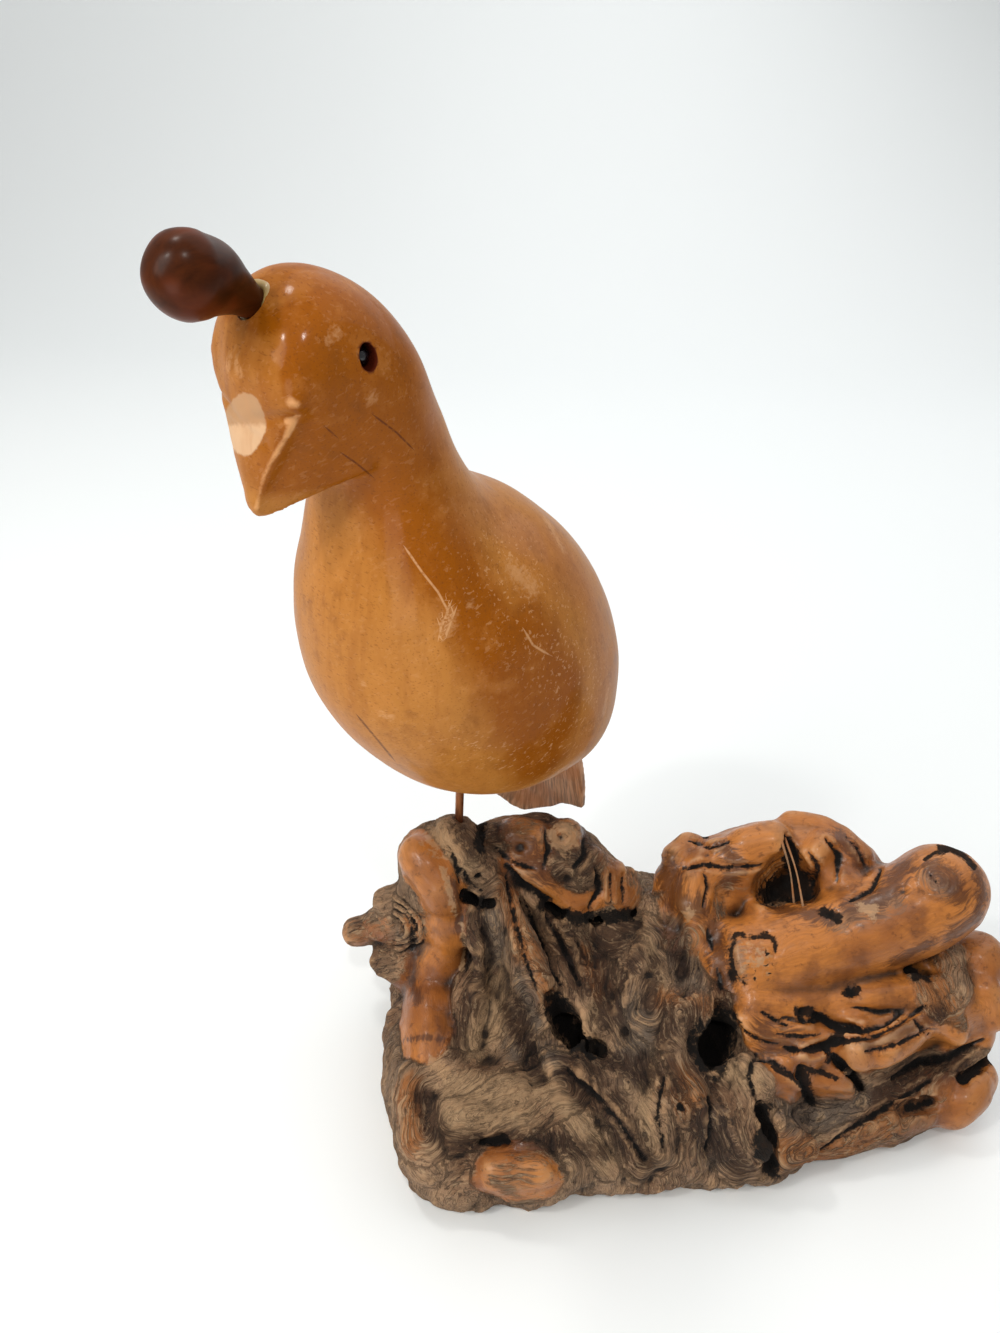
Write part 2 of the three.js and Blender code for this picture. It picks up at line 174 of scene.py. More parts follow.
# Roots and knobs that lie on those growths, as (polish, stops). Each stop is a pixel x and y,
# a radius and a depth behind the surface, in mm.
ROOTS = [
    (1.0, [(418, 856, 6.2, 2.6), (438, 880, 6.6, 2.0), (449, 910, 6.4, 1.8), (448, 940, 6.2, 1.8),
           (439, 966, 6.8, 1.0), (431, 988, 7.0, 3.2), (429, 1014, 7.8, 4.4), (431, 1040, 8.0, 5.0),
           (430, 1058, 7.0, 5.6)]),
    (1.0, [(443, 950, 6.2, 1.6), (435, 982, 7.0, 0.4), (431, 1012, 7.2, 2.4)]),
    (0.95, [(752, 1002, 4.2, 1.2), (790, 1006, 4.0, 1.2), (824, 1000, 3.4, 1.2)]),
    (0.8, [(728, 900, 3.6, 1.4), (742, 908, 4.0, 1.6), (762, 916, 4.0, 3.0)]),
    (0.2, [(470, 905, 2.6, 1.0), (482, 935, 3.0, 0.6), (485, 965, 3.2, 0.6), (480, 1000, 3.2, 0.8),
           (470, 1030, 2.8, 1.4)]),
    (0.1, [(450, 838, 5.6, 3.0), (463, 858, 6.0, 2.0), (478, 882, 5.6, 2.0)]),
    (0.2, [(387, 905, 3.6, 1.0), (399, 902, 3.8, 2.0)]),
    (0.2, [(383, 962, 3.8, 1.0), (394, 957, 3.8, 2.0)]),
    (0.3, [(488, 862, 3.8, 1.4), (500, 893, 4.0, 0.8), (511, 925, 4.4, 0.8), (524, 955, 4.6, 0.8),
           (538, 985, 4.6, 1.0), (546, 1012, 4.0, 2.0)]),
    (0.05, [(528, 886, 2.6, 0.8), (544, 922, 2.8, 0.6), (558, 955, 2.8, 0.6), (568, 985, 2.6, 1.2)]),
    (0.05, [(556, 925, 2.4, 0.6), (574, 955, 2.6, 0.4), (586, 990, 2.4, 0.8)]),
    (0.95, [(512, 862, 2.6, 0.6), (535, 876, 3.0, 0.4), (555, 892, 3.6, 0.4), (575, 902, 3.8, 0.4),
            (592, 898, 3.2, 1.0)]),
    (0.7, [(516, 838, 5.8, 3.0), (534, 842, 6.2, 3.0)]),
    (0.52, [(561, 838, 5.0, 2.2), (567, 836, 5.0, 2.2)]),
    (0.4, [(584, 870, 4.2, 1.6), (589, 860, 4.2, 1.8)]),
    (0.5, [(605, 874, 2.6, 0.4), (606, 902, 2.4, 0.6)]),
    (0.5, [(617, 872, 2.7, 0.4), (617, 904, 2.5, 0.6)]),
    (0.45, [(629, 877, 2.6, 0.4), (629, 903, 2.4, 0.6)]),
    (0.2, [(648, 896, 4.4, 1.6), (656, 916, 4.2, 1.6)]),
    (0.8, [(692, 884, 5.8, 2.2), (689, 908, 6.2, 2.2)]),
    (0.02, [(652, 925, 3.0, 0.6), (641, 955, 3.6, 0.6), (630, 985, 3.6, 0.6), (614, 1012, 3.0, 1.0)]),
    (0.02, [(632, 1030, 6.0, 3.8), (646, 1048, 6.0, 3.8)]),
    (0.02, [(692, 1000, 3.2, 0.6), (674, 1030, 3.8, 0.6), (668, 1070, 4.2, 0.8), (682, 1112, 4.2, 1.4)]),
    (0.1, [(742, 1074, 5.2, 2.0), (760, 1086, 5.2, 2.0)]),
    (0.15, [(688, 1098, 5.2, 2.4), (704, 1116, 5.2, 2.4)]),
    (0.2, [(786, 1122, 5.0, 2.0), (800, 1142, 5.0, 2.0)]),
    (0.1, [(578, 1074, 3.4, 0.8), (602, 1106, 3.6, 0.6), (624, 1140, 3.6, 0.8), (638, 1168, 3.4, 1.0)]),
    (0.1, [(542, 1062, 3.2, 0.8), (560, 1094, 3.4, 0.6), (588, 1132, 3.4, 0.8), (608, 1164, 3.2, 1.0)]),
    (0.1, [(652, 1070, 3.0, 0.8), (655, 1110, 3.4, 0.6), (664, 1150, 3.4, 0.8)]),
    (0.6, [(498, 1166, 5.6, 2.6), (536, 1166, 5.6, 2.6)]),
    (0.12, [(410, 1076, 4.2, 1.4), (407, 1106, 4.2, 1.2), (416, 1140, 4.2, 1.4), (432, 1164, 4.2, 2.0)]),
    (0.1, [(470, 1092, 6.0, 4.4), (520, 1096, 6.4, 4.6)]),
    (0.6, [(676, 860, 4.6, 1.4), (690, 848, 4.6, 1.4)]),
    (0.8, [(700, 864, 4.0, 1.2), (718, 852, 4.4, 1.2)]),
    (0.95, [(746, 846, 6.0, 2.2), (772, 842, 6.6, 2.2)]),
    (0.85, [(706, 876, 3.0, 0.8), (722, 868, 3.0, 0.6), (742, 867, 3.0, 0.8)]),
    (0.9, [(816, 854, 4.6, 1.2), (822, 846, 4.6, 1.2)]),
    (0.8, [(844, 848, 4.0, 1.0), (853, 857, 4.0, 1.0)]),
    (0.95, [(834, 874, 3.6, 1.0), (850, 882, 3.8, 1.0)]),
    (0.8, [(790, 822, 3.4, 1.0), (815, 825, 3.4, 0.8), (840, 837, 3.4, 0.8), (862, 854, 3.2, 1.0)]),
    (0.95, [(742, 1022, 6.0, 3.0), (774, 1036, 6.0, 3.0), (800, 1030, 5.0, 3.0)]),
    (0.95, [(832, 1004, 4.0, 1.6), (868, 998, 4.4, 1.4), (900, 992, 4.0, 1.6)]),
    (0.95, [(772, 1072, 4.4, 1.4), (786, 1084, 5.2, 1.2), (798, 1092, 5.0, 1.4)]),
    (0.95, [(820, 1086, 5.4, 1.4), (848, 1092, 5.2, 1.4)]),
    (0.9, [(854, 1048, 4.4, 1.2), (858, 1058, 4.2, 1.2)]),
    (0.95, [(804, 1052, 3.0, 0.6), (824, 1050, 3.4, 0.6)]),
    (0.95, [(833, 1067, 2.4, 0.4), (846, 1070, 2.4, 0.4)]),
    (0.9, [(876, 1048, 6.0, 3.0), (915, 1030, 6.4, 3.0), (950, 1036, 5.4, 3.0)]),
    (0.2, [(944, 966, 4.4, 2.2), (952, 992, 4.6, 2.2)]),
    (0.2, [(914, 985, 3.0, 0.8), (926, 1008, 3.2, 0.8), (940, 1030, 3.0, 1.2)]),
    (0.35, [(934, 985, 2.6, 0.6), (948, 1010, 2.8, 0.6), (958, 1030, 2.6, 1.0)]),
    (0.9, [(982, 990, 5.4, 2.4), (992, 1014, 5.0, 2.4)]),
    (1.0, [(950, 1108, 6.2, 2.6), (967, 1094, 6.2, 2.6), (980, 1076, 5.2, 2.6)]),
]
# Broad valleys, as (reach in mm, rise in mm, pixels along it).
VALLEYS = [
    (5.5, -3.0, [(494, 935), (498, 985), (492, 1030)]),
    (5.0, -4.0, [(594, 935), (604, 985), (606, 1030)]),
    (4.6, -5.5, [(672, 928), (678, 950), (688, 980)]),
    (3.0, -3.2, [(488, 912), (492, 950), (500, 990)]),
    (3.4, -3.0, [(548, 920), (566, 955), (582, 985)]),
    (3.0, -2.6, [(716, 940), (722, 975), (728, 1000)]),
    (3.6, -2.6, [(510, 1010), (526, 1045), (540, 1070)]),
    (4.5, -3.5, [(562, 1072), (600, 1122), (626, 1160)]),
    (4.0, -3.0, [(428, 1096), (434, 1130), (458, 1146), (500, 1140), (560, 1150)]),
    (7.0, -4.5, [(800, 1112), (856, 1108), (900, 1085), (945, 1050)]),
    (5.0, -3.5, [(716, 1098), (728, 1130), (726, 1165)]),
    (5.0, -3.0, [(640, 1075), (628, 1060), (606, 1062)]),
    (4.0, -2.5, [(520, 1010), (526, 1050), (540, 1085)]),
]
# Holes: stops of (pixel x, pixel y, radius in mm, depth behind the surface in mm).
GOUGES = [
    [(552, 999, 3.6, 2), (563, 1020, 5.6, 4), (574, 1041, 6.2, 6), (597, 1051, 4.0, 3)],
    [(566, 1025, 4.6, 12), (581, 1046, 4.2, 14)],
    [(722, 1012, 3.8, 2), (721, 1033, 7.2, 4), (710, 1051, 7.0, 6)],
    [(719, 1038, 5.8, 12), (712, 1053, 5.2, 15)],
    [(734, 1046, 3.8, 3), (715, 1063, 4.4, 4)],
    [(760, 1108, 3.0, 2), (766, 1134, 3.4, 4), (769, 1164, 3.2, 3)],
    [(771, 889, 6.0, -3), (774, 890, 5.6, 3), (778, 891, 4.4, 8)],
    [(787, 877, 7.6, -3), (788, 880, 7.0, 3), (789, 884, 5.6, 9)],
    [(803, 886, 5.8, -3), (801, 888, 5.0, 5)],
    [(788, 846, 2.2, 0.6), (791, 856, 3.0, 1.2), (794, 868, 4.2, 2)],
    [(546, 906, 2.2, 2), (572, 918, 3.2, 4), (606, 918, 2.8, 4), (634, 912, 2.0, 2)],
    [(462, 894, 2.2, 2), (478, 901, 2.8, 4), (492, 903, 2.2, 2)],
    [(482, 826, 2.0, 1), (480, 845, 2.2, 2)],
    [(908, 972, 2.6, 2), (924, 976, 2.4, 3)],
    [(902, 1112, 2.4, 2), (930, 1102, 2.8, 3)],
    [(484, 1141, 1.8, 1), (506, 1140, 2.0, 1.5)],
    [(800, 1068, 1.8, 1), (806, 1088, 2.2, 2), (812, 1104, 1.8, 1)],
    [(924, 860, 0.9, 0), (936, 851, 1.6, 0.4), (951, 848, 2.2, 0.6), (964, 854, 1.8, 0.4),
     (974, 868, 0.9, 0)],
    [(808, 1012, 1.5, 0.4), (830, 1022, 1.7, 0.8), (858, 1028, 1.5, 0.6)],
    [(790, 1050, 1.2, 0.4), (812, 1051, 1.6, 0.9), (830, 1045, 1.6, 0.9), (856, 1040, 1.2, 0.4)],
    [(828, 1060, 1.6, 0.5), (842, 1062, 1.9, 1.2), (854, 1076, 2.1, 1.6), (858, 1088, 1.6, 1)],
    [(784, 1018, 1.0, 0.2), (800, 1020, 1.2, 0.4), (818, 1020, 1.0, 0.2)],
    [(852, 1074, 1.6, 1), (862, 1086, 1.8, 1.5)],
    [(832, 1026, 1.6, 1), (842, 1030, 1.8, 1.6), (852, 1030, 1.4, 1)],
    [(960, 1080, 2.2, 1.5), (982, 1062, 2.4, 2)],
]
# Thin splinters across the ring's hole, as pixels of their ends.
SPLINTERS = [((785, 838), (803, 906)), ((782, 842), (794, 903))]
# Directions of the fibres on the front, as pixels along them.
FLOWS = [
    [(486, 900), (492, 925), (500, 960), (484, 1000), (476, 1045)],
    [(530, 1000), (500, 1040), (460, 1075), (430, 1090), (425, 1130)],
    [(556, 905), (580, 950), (590, 1000), (620, 1060), (650, 1150)],
    [(600, 930), (640, 940), (660, 980), (650, 1010)],
    [(560, 1085), (500, 1110), (450, 1120)],
    [(690, 940), (676, 1000), (690, 1060), (720, 1100), (745, 1160)],
    [(800, 1120), (850, 1105), (910, 1075), (970, 1030)],
    [(800, 1155), (860, 1135), (930, 1100), (990, 1040)],
]
FLOW_REACH, FLOW_SPACING = 9.0, 7.0
# Small pits and cracks, as (reach in mm, rise in mm, pixels along it).
PITS = [
    (1.3, -2.4, [(478, 876)]),
    (1.5, -1.6, [(520, 848)]),
    (1.4, -1.5, [(562, 838)]),
    (2.2, -1.8, [(568, 880)]),
    (1.4, -1.4, [(831, 914)]),
    (1.4, -2.0, [(803, 1012)]),
    (1.5, -2.0, [(851, 992)]),
    (1.2, -1.0, [(903, 891)]),
    (1.3, -1.6, [(681, 1107)]),
    (1.5, -1.5, [(650, 975)]),
    (1.5, -1.4, [(706, 835)]),
    (1.4, -1.2, [(625, 1032)]),
]
CRACKS = [
    (1.1, -1.6, [(815, 1014), (832, 1025), (862, 1030), (885, 1022), (902, 1012)]),
    (0.7, -1.0, [(850, 1006), (880, 1012), (905, 1009)]),
    (0.9, -1.4, [(785, 1048), (803, 1051), (822, 1045), (845, 1038), (872, 1036), (900, 1022), (925, 1006)]),
    (1.3, -1.8, [(826, 1048), (836, 1060), (852, 1076), (862, 1088)]),
    (1.0, -1.2, [(757, 1060), (775, 1062), (798, 1076), (808, 1100)]),
    (0.7, -1.0, [(762, 1012), (776, 1020), (790, 1026)]),
    (0.7, -1.0, [(782, 1018), (806, 1021), (826, 1020)]),
    (0.9, -1.2, [(914, 1018), (924, 1030), (932, 1038)]),
    (0.5, -0.5, [(924, 868), (938, 884)]),
    (0.9, -1.4, [(506, 876), (513, 914), (523, 950), (536, 990)]),
    (0.8, -1.2, [(522, 895), (541, 945), (560, 985)]),
    (0.8, -1.2, [(545, 915), (562, 945), (580, 985)]),
    (1.2, -1.6, [(498, 848), (512, 862), (534, 868)]),
    (1.5, -2.0, [(506, 866), (520, 884), (545, 900), (566, 912)]),
    (1.0, -1.2, [(545, 828), (549, 850), (543, 868)]),
    (1.0, -1.2, [(585, 838), (583, 856), (574, 868)]),
    (0.8, -1.0, [(611, 872), (611, 902)]),
    (0.8, -1.0, [(623, 872), (623, 903)]),
    (1.2, -1.6, [(595, 868), (600, 890), (590, 908)]),
    (1.1, -1.6, [(684, 868), (704, 864), (732, 868), (762, 866)]),
    (0.8, -1.2, [(704, 872), (709, 888), (703, 906)]),
    (0.9, -1.4, [(690, 840), (708, 846), (728, 842)]),
    (1.1, -1.4, [(786, 834), (791, 850), (797, 862)]),
    (1.0, -1.2, [(808, 852), (818, 868), (812, 884)]),
    (1.0, -1.2, [(826, 838), (840, 856), (836, 880)]),
    (0.8, -1.0, [(846, 836), (860, 850), (866, 868)]),
    (1.2, -1.4, [(880, 868), (870, 888), (850, 900)]),
    (0.7, -1.2, [(707, 928), (712, 950)]),
    (0.7, -1.2, [(717, 968), (722, 992)]),
    (0.7, -0.9, [(742, 1030), (760, 1042), (778, 1044)]),
    (0.7, -0.9, [(776, 1034), (800, 1036), (822, 1034)]),
    (0.8, -1.0, [(866, 1052), (900, 1044), (930, 1030)]),
    (1.0, -1.2, [(402, 905), (414, 925), (412, 950)]),
    (1.2, -1.6, [(568, 1070), (596, 1098), (620, 1125), (645, 1160)]),
    (0.9, -1.4, [(756, 1054), (748, 1076), (756, 1100)]),
    (1.0, -1.4, [(820, 1150), (850, 1130), (890, 1105), (930, 1080)]),
    (1.2, -1.8, [(892, 1078), (920, 1062), (950, 1058), (985, 1040)]),
    (1.0, -1.4, [(664, 1076), (656, 1110), (664, 1150)]),
    (1.0, -1.4, [(706, 1096), (714, 1120), (706, 1150)]),
    (0.9, -1.2, [(462, 868), (470, 884), (480, 890)]),
    (0.8, -1.0, [(446, 842), (456, 862), (460, 884)]),
]
# Rings of wrinkles: (centre pixel, inner and outer reach in mm, spacing in mm, height in mm, and 1 or -1
# for those that lie only right or left of the centre).
WRINKLES = [
    ((394, 926), 3.0, 11.0, 2.2, 0.9, 1),
    ((789, 888), 7.5, 17.0, 2.3, 0.75, -1),
    ((563, 837), 1.5, 5.5, 2.1, 0.35, 0),
    ((938, 880), 0.8, 6.5, 2.4, 0.25, 0),
]
# A patch of bark left on the finger: its middle pixel and half sizes in pixels.
BARK_PATCH = ((753, 958), (25, 27))
# Black painted shade in holes, pits, gaps and under overhangs, as (reach in mm, pixels along it).
BLACK_SHADE = [
    (2.4, [(461, 892), (478, 901), (493, 903)]),
    (1.3, [(478, 876)]),
    (2.4, [(545, 904), (575, 917), (610, 917), (637, 912)]),
    (1.6, [(824, 912), (838, 915)]),
    (1.0, [(838, 922)]),
    (1.6, [(798, 1013), (808, 1011)]),
    (1.5, [(846, 993), (856, 990)]),
    (2.6, [(908, 972), (921, 976)]),
    (3.4, [(762, 1108), (768, 1164)]),
    (1.2, [(906, 1108), (930, 1102)]),
    (1.8, [(486, 1141), (505, 1140)]),
    (1.8, [(482, 826), (479, 848)]),
    (1.2, [(681, 1107)]),
    (1.4, [(705, 838)]),
    (2.0, [(802, 1070), (808, 1100)]),
    (2.4, [(962, 1080), (986, 1058)]),
]
# Black painted shade deep in the holes, as the camera sees them: (half width in pixels, pixels along it).
HOLLOWS = [
    (13, [(556, 1004), (566, 1024), (577, 1042), (590, 1048)]),
    (11, [(584, 1046), (597, 1051)]),
    (18, [(724, 1022), (716, 1036)]),
    (26, [(711, 1042), (707, 1054)]),
    (2, [(924, 860), (936, 852)]),
    (5, [(940, 850), (951, 849), (961, 853)]),
    (3, [(964, 856), (974, 867)]),
    (4.5, [(806, 1012), (826, 1020), (842, 1030), (830, 1043)]),
    (3, [(790, 1050), (812, 1051), (830, 1045), (856, 1040)]),
    (3.5, [(828, 1060), (842, 1062), (854, 1076), (858, 1088)]),
    (3, [(806, 1068), (820, 1072), (836, 1078)]),
    (3, [(772, 1066), (790, 1076), (806, 1090)]),
    (16, [(779, 888), (796, 880)]),
    (12, [(768, 896), (806, 890)]),
    (9, [(789, 848), (795, 874)]),
    (6, [(480, 828), (479, 848)]),
]
# Pale places, some of them painted highlights, and tints of the dry root, where the dark ones are partly
# painted shade, as (reach in mm, pixels along it).
PALE_SPOTS_AND_HIGHLIGHTS = [
    (2.6, [(563, 828), (574, 838), (562, 848), (553, 838)]),
    (2.0, [(688, 914)]),
    (0.9, [(462, 925), (464, 945), (462, 968)]),
    (2.0, [(862, 908), (872, 912)]),
    (4.0, [(436, 838), (450, 846)]),
    (1.8, [(434, 1062), (446, 1074)]),
    (1.0, [(442, 868), (450, 890), (455, 915)]),
]
# Darker wood, and painted shade in recesses, crevices and under overhangs.
DARK_ROOT_AND_SHADE = [
    (3.0, [(474, 905), (478, 955), (470, 1005), (456, 1050)]),
    (2.8, [(520, 1002), (528, 1040), (542, 1080)]),
    (4.4, [(568, 1068), (602, 1102), (648, 1160)]),
    (3.4, [(548, 912), (566, 950), (584, 990)]),
    (4.0, [(664, 872), (676, 900), (700, 912)]),
    (3.0, [(716, 930), (720, 972), (728, 1004)]),
    (3.2, [(430, 1096), (432, 1128), (448, 1144), (500, 1136), (552, 1142)]),
    (4.5, [(700, 1120), (726, 1150), (740, 1166)]),
    (3.0, [(880, 1098), (910, 1080), (960, 1060)]),
    (3.4, [(500, 830), (516, 850), (530, 862), (556, 878)]),
    (4.0, [(600, 1062), (622, 1070), (660, 1072)]),
    (5.0, [(600, 935), (606, 975), (610, 1010)]),
    (3.0, [(560, 1140), (600, 1152)]),
    (3.0, [(460, 830), (474, 850)]),
    (3.0, [(772, 908), (800, 912), (826, 916)]),
    (3.4, [(850, 908), (874, 900), (890, 886), (904, 868)]),
    (3.2, [(930, 866), (950, 880), (962, 898)]),
    (3.4, [(508, 838), (530, 848)]),
    (2.0, [(506, 1010), (518, 1036), (528, 1064)]),
    (2.2, [(550, 822), (547, 840), (556, 856), (574, 854)]),
    (3.0, [(622, 920), (612, 960), (602, 990)]),
    (2.2, [(655, 962), (648, 1002)]),
    (2.6, [(668, 1010), (664, 1050), (676, 1090)]),
    (2.4, [(670, 860), (678, 884), (672, 906)]),
    (3.2, [(580, 826), (590, 848), (586, 868)]),
    (1.6, [(416, 948), (411, 975), (417, 1000)]),
    (1.3, [(452, 880), (458, 905), (459, 930)]),
    (2.6, [(978, 872), (984, 896), (976, 920), (950, 936)]),
    (3.4, [(764, 1030), (770, 1044), (790, 1040)]),
    (2.4, [(866, 1046), (900, 1034), (940, 1014)]),
    (2.6, [(722, 846), (740, 864), (726, 884)]),
    (2.4, [(838, 834), (856, 850), (862, 866)]),
    (2.0, [(895, 962), (930, 944)]),
    (0.8, [(404, 1040), (426, 1037), (452, 1041)]),
    (5.0, [(560, 1010), (590, 1066)]),
    (3.0, [(690, 1010), (692, 1060), (712, 1076)]),
    (2.4, [(640, 925), (634, 960), (620, 990)]),
    (3.0, [(668, 930), (684, 972)]),
]
GREY_ROOT = [
    (5.0, [(672, 930), (680, 956), (692, 990)]),
    (4.0, [(490, 915), (490, 955)]),
    (3.0, [(524, 975), (534, 1020)]),
    (5.5, [(628, 1014), (640, 1048), (628, 1064)]),
    (4.0, [(520, 1052), (552, 1062)]),
    (4.4, [(790, 1118), (840, 1112), (860, 1096)]),
    (4.0, [(712, 1120), (722, 1156)]),
    (3.0, [(400, 938), (420, 946)]),
    (2.4, [(734, 945), (738, 972)]),
    (3.0, [(836, 920), (868, 908), (890, 900)]),
    (2.6, [(926, 876), (946, 888)]),
]
WARM_ROOT = [
    (3.2, [(504, 875), (514, 920), (529, 965), (547, 1002)]),
    (3.0, [(586, 955), (600, 992)]),
    (3.0, [(664, 1000), (690, 996), (712, 1004)]),
    (4.4, [(678, 1084), (700, 1104)]),
    (5.0, [(770, 1140), (830, 1158), (880, 1130)]),
    (3.2, [(410, 1090), (412, 1140)]),
    (4.0, [(690, 850), (700, 880)]),
    (5.0, [(700, 905), (716, 940), (724, 980)]),
    (4.0, [(880, 1120), (930, 1096)]),
    (4.0, [(926, 972), (938, 1006), (946, 1030)]),
]
SANDY_ROOT = [
    (5.0, [(492, 965), (494, 1010), (472, 1045)]),
    (5.0, [(455, 1092), (500, 1086), (545, 1090)]),
    (5.0, [(456, 1120), (520, 1112)]),
    (2.6, [(642, 930), (652, 960), (660, 990)]),
    (2.2, [(596, 1004), (590, 1034)]),
    (2.6, [(654, 1060), (644, 1110), (652, 1160)]),
    (3.4, [(728, 1070), (750, 1078)]),
    (5.0, [(434, 836), (448, 840), (464, 858)]),
    (3.2, [(556, 1094), (588, 1128), (604, 1158)]),
    (2.6, [(716, 872), (742, 878), (762, 896)]),
]
ROOT_TINTS = {"dark": DARK_ROOT_AND_SHADE, "grey": GREY_ROOT, "warm": WARM_ROOT, "sandy": SANDY_ROOT}

# Marks on the bird, as (reach in mm, pixels along it): browner wood, a pinkish painted reflection along
# the rim of the back and flank, pale smudges, the flank's scuffs and painted highlights behind the bill.
BROWN_WOOD = [
    (7.6, [(378, 478), (410, 512), (444, 560), (480, 620), (512, 680), (534, 730), (542, 765)]),
    (6.5, [(330, 456), (372, 440), (392, 470)]),
    (5.0, [(412, 504), (444, 552), (474, 612)]),
    (2.6, [(250, 318), (272, 322), (296, 312), (318, 330), (330, 356)]),
    (7.0, [(520, 640), (560, 690), (556, 735)]),
    (6.0, [(380, 330), (410, 400)]),
]
# A pinkish tint along the right rim of the back, nape and flank: a painted reflection of the pale room.
PAINTED_RIM_SHEEN = [
    (7.0, [(474, 508), (545, 540), (592, 600), (608, 680), (585, 742)]),
    (4.0, [(425, 390), (455, 470)]),
]
SMUDGES = [
    (2.2, [(514, 572), (532, 586)]),
    (1.3, [(548, 522), (562, 548)]),
    (1.0, [(381, 713), (390, 717)]),
    (0.7, [(363, 683)]),
    (0.8, [(470, 604)]),
    (0.8, [(330, 340), (338, 331)]),
    (1.0, [(372, 398)]),
    (1.4, [(450, 618), (444, 632)]),
    (1.2, [(608, 690), (604, 712)]),
    (0.8, [(236, 362), (239, 374)]),
]
FLANK_SCUFFS = [
    (8.0, [(505, 570), (560, 640), (585, 700), (545, 775)]),
    (4.0, [(455, 745), (520, 765)]),
]
# Painted highlights at the top of the bill's ridge.
BILL_HIGHLIGHTS = [
    (0.9, [(291, 403), (297, 405)]),
    (0.6, [(287, 421), (294, 420)]),
]
# Fine lines on the bird, as pixels along them.
SCRATCHES = [
    [(404, 546), (422, 572), (438, 592), (447, 609), (450, 625), (443, 640)],
    [(523, 628), (533, 645), (544, 652), (552, 656)],
    [(452, 600), (445, 618), (440, 632)],
    [(457, 606), (450, 624), (446, 638)],
    [(437, 618), (441, 628), (438, 641)],
]
DARK_GRAIN = [
    [(340, 452), (356, 463), (374, 478)],
    [(324, 426), (338, 438)],
    [(356, 714), (376, 738), (395, 761)],
    [(372, 414), (396, 432), (414, 450)],
]
# The bare patch on the bill: its middle pixel and half sizes in pixels.
WORN_PATCH = ((245, 424), (20.5, 31))
# The head is browner from these heights and places forward, in mm, and most where it faces sideways,
# where the extra brown is painted shade.
HEAD_HEIGHTS, HEAD_FORWARD, SIDEWAYS_SHADE_SLOPES = (114, 123), (14, 30), (0.4, 0.62)

# Stage: the floor and the wall that rises from it, in m, and the lights as (name, place from the foot
# in m, size in m, power in W, colour).
FLOOR_SIZE, WALL_HEIGHT, WALL_CURVE = 2.4, 1.6, 0.5
LAMP_COLOUR = (1.0, 0.97, 0.92)
LIGHTS = [
    ("key", (-0.54, -0.42, 0.5), 0.4, 2.5, LAMP_COLOUR),
    ("fill", (-0.27, -0.7, 0.02), 0.3, 0.85, (1.0, 0.98, 0.95)),
    ("rear", (0.3, 0.5, 0.8), 1.3, 5.6, (1.0, 1.0, 1.0)),
    ("left lamp", (-0.47, -0.38, 0.74), 0.06, 1.4, LAMP_COLOUR),
    ("front lamp", (0.03, -0.47, 0.82), 0.06, 1.4, LAMP_COLOUR),
    ("top lamp", (-0.33, 0.17, 0.87), 0.1, 1.3, LAMP_COLOUR),
]


# Properties


class QuailSizes(bpy.types.PropertyGroup):
    """Sizes that a user may change."""

    body_voxel: bpy.props.FloatProperty(
        name="Body detail", description="Edge of the body's surface mesh", default=0.67 * MM, unit="LENGTH")
    burl_voxel: bpy.props.FloatProperty(
        name="Burl detail", description="Edge of the burl's surface mesh", default=0.97 * MM, unit="LENGTH")
    tail_voxel: bpy.props.FloatProperty(
        name="Tail detail", description="Edge of the tail's surface mesh", default=0.5 * MM, unit="LENGTH")
    eye_radius: bpy.props.FloatProperty(
        name="Eye radius", description="Radius of the glass bead", default=1.6 * MM, unit="LENGTH")
    tail_thickness: bpy.props.FloatProperty(
        name="Tail thickness", description="Thickness of the fan", default=3.2 * MM, unit="LENGTH")


class QuailColours(bpy.types.PropertyGroup):
    """Colours that a user may change."""

    gold: bpy.props.FloatVectorProperty(
        name="Golden wood", description="The breast and the throat", subtype="COLOR",
        default=(0.445, 0.176, 0.033))
    brown: bpy.props.FloatVectorProperty(
        name="Brown wood", description="The cheeks and the flank", subtype="COLOR",
        default=(0.285, 0.077, 0.002))
    dark: bpy.props.FloatVectorProperty(
        name="Dark wood", description="The topknot", subtype="COLOR", default=(0.075, 0.017, 0.003))
    tail: bpy.props.FloatVectorProperty(
        name="Tail wood", description="The tail", subtype="COLOR", default=(0.56, 0.30, 0.165))
    polished: bpy.props.FloatVectorProperty(
        name="Polished root", description="Worn, shiny lobes of the burl", subtype="COLOR",
        default=(0.435, 0.152, 0.029))
    weathered: bpy.props.FloatVectorProperty(
        name="Weathered root", description="Dry fibrous hollows of the burl", subtype="COLOR",
        default=(0.245, 0.148, 0.084))
    floor: bpy.props.FloatVectorProperty(
        name="Floor", description="Tone of the stage", subtype="COLOR", default=(0.90, 0.935, 0.945))


class QuailStage(bpy.types.PropertyGroup):
    """The camera's place and the light."""

    focal: bpy.props.FloatProperty(
        name="Focal length in pixels", description="For a picture 1333 pixels high", default=960.0)
    pitch: bpy.props.FloatProperty(
        name="Pitch", description="How far the camera looks down", subtype="ANGLE",
        default=math.radians(34.0))
    roll: bpy.props.FloatProperty(
        name="Roll", description="How far the camera leans", subtype="ANGLE", default=math.radians(-3.0))
    offset: bpy.props.FloatVectorProperty(
        name="Place", description="Camera place, from the rod's foot", subtype="TRANSLATION",
        default=(9.55 * MM, -206.0 * MM, 194.2 * MM))


# Numbers: curves, noise and masks


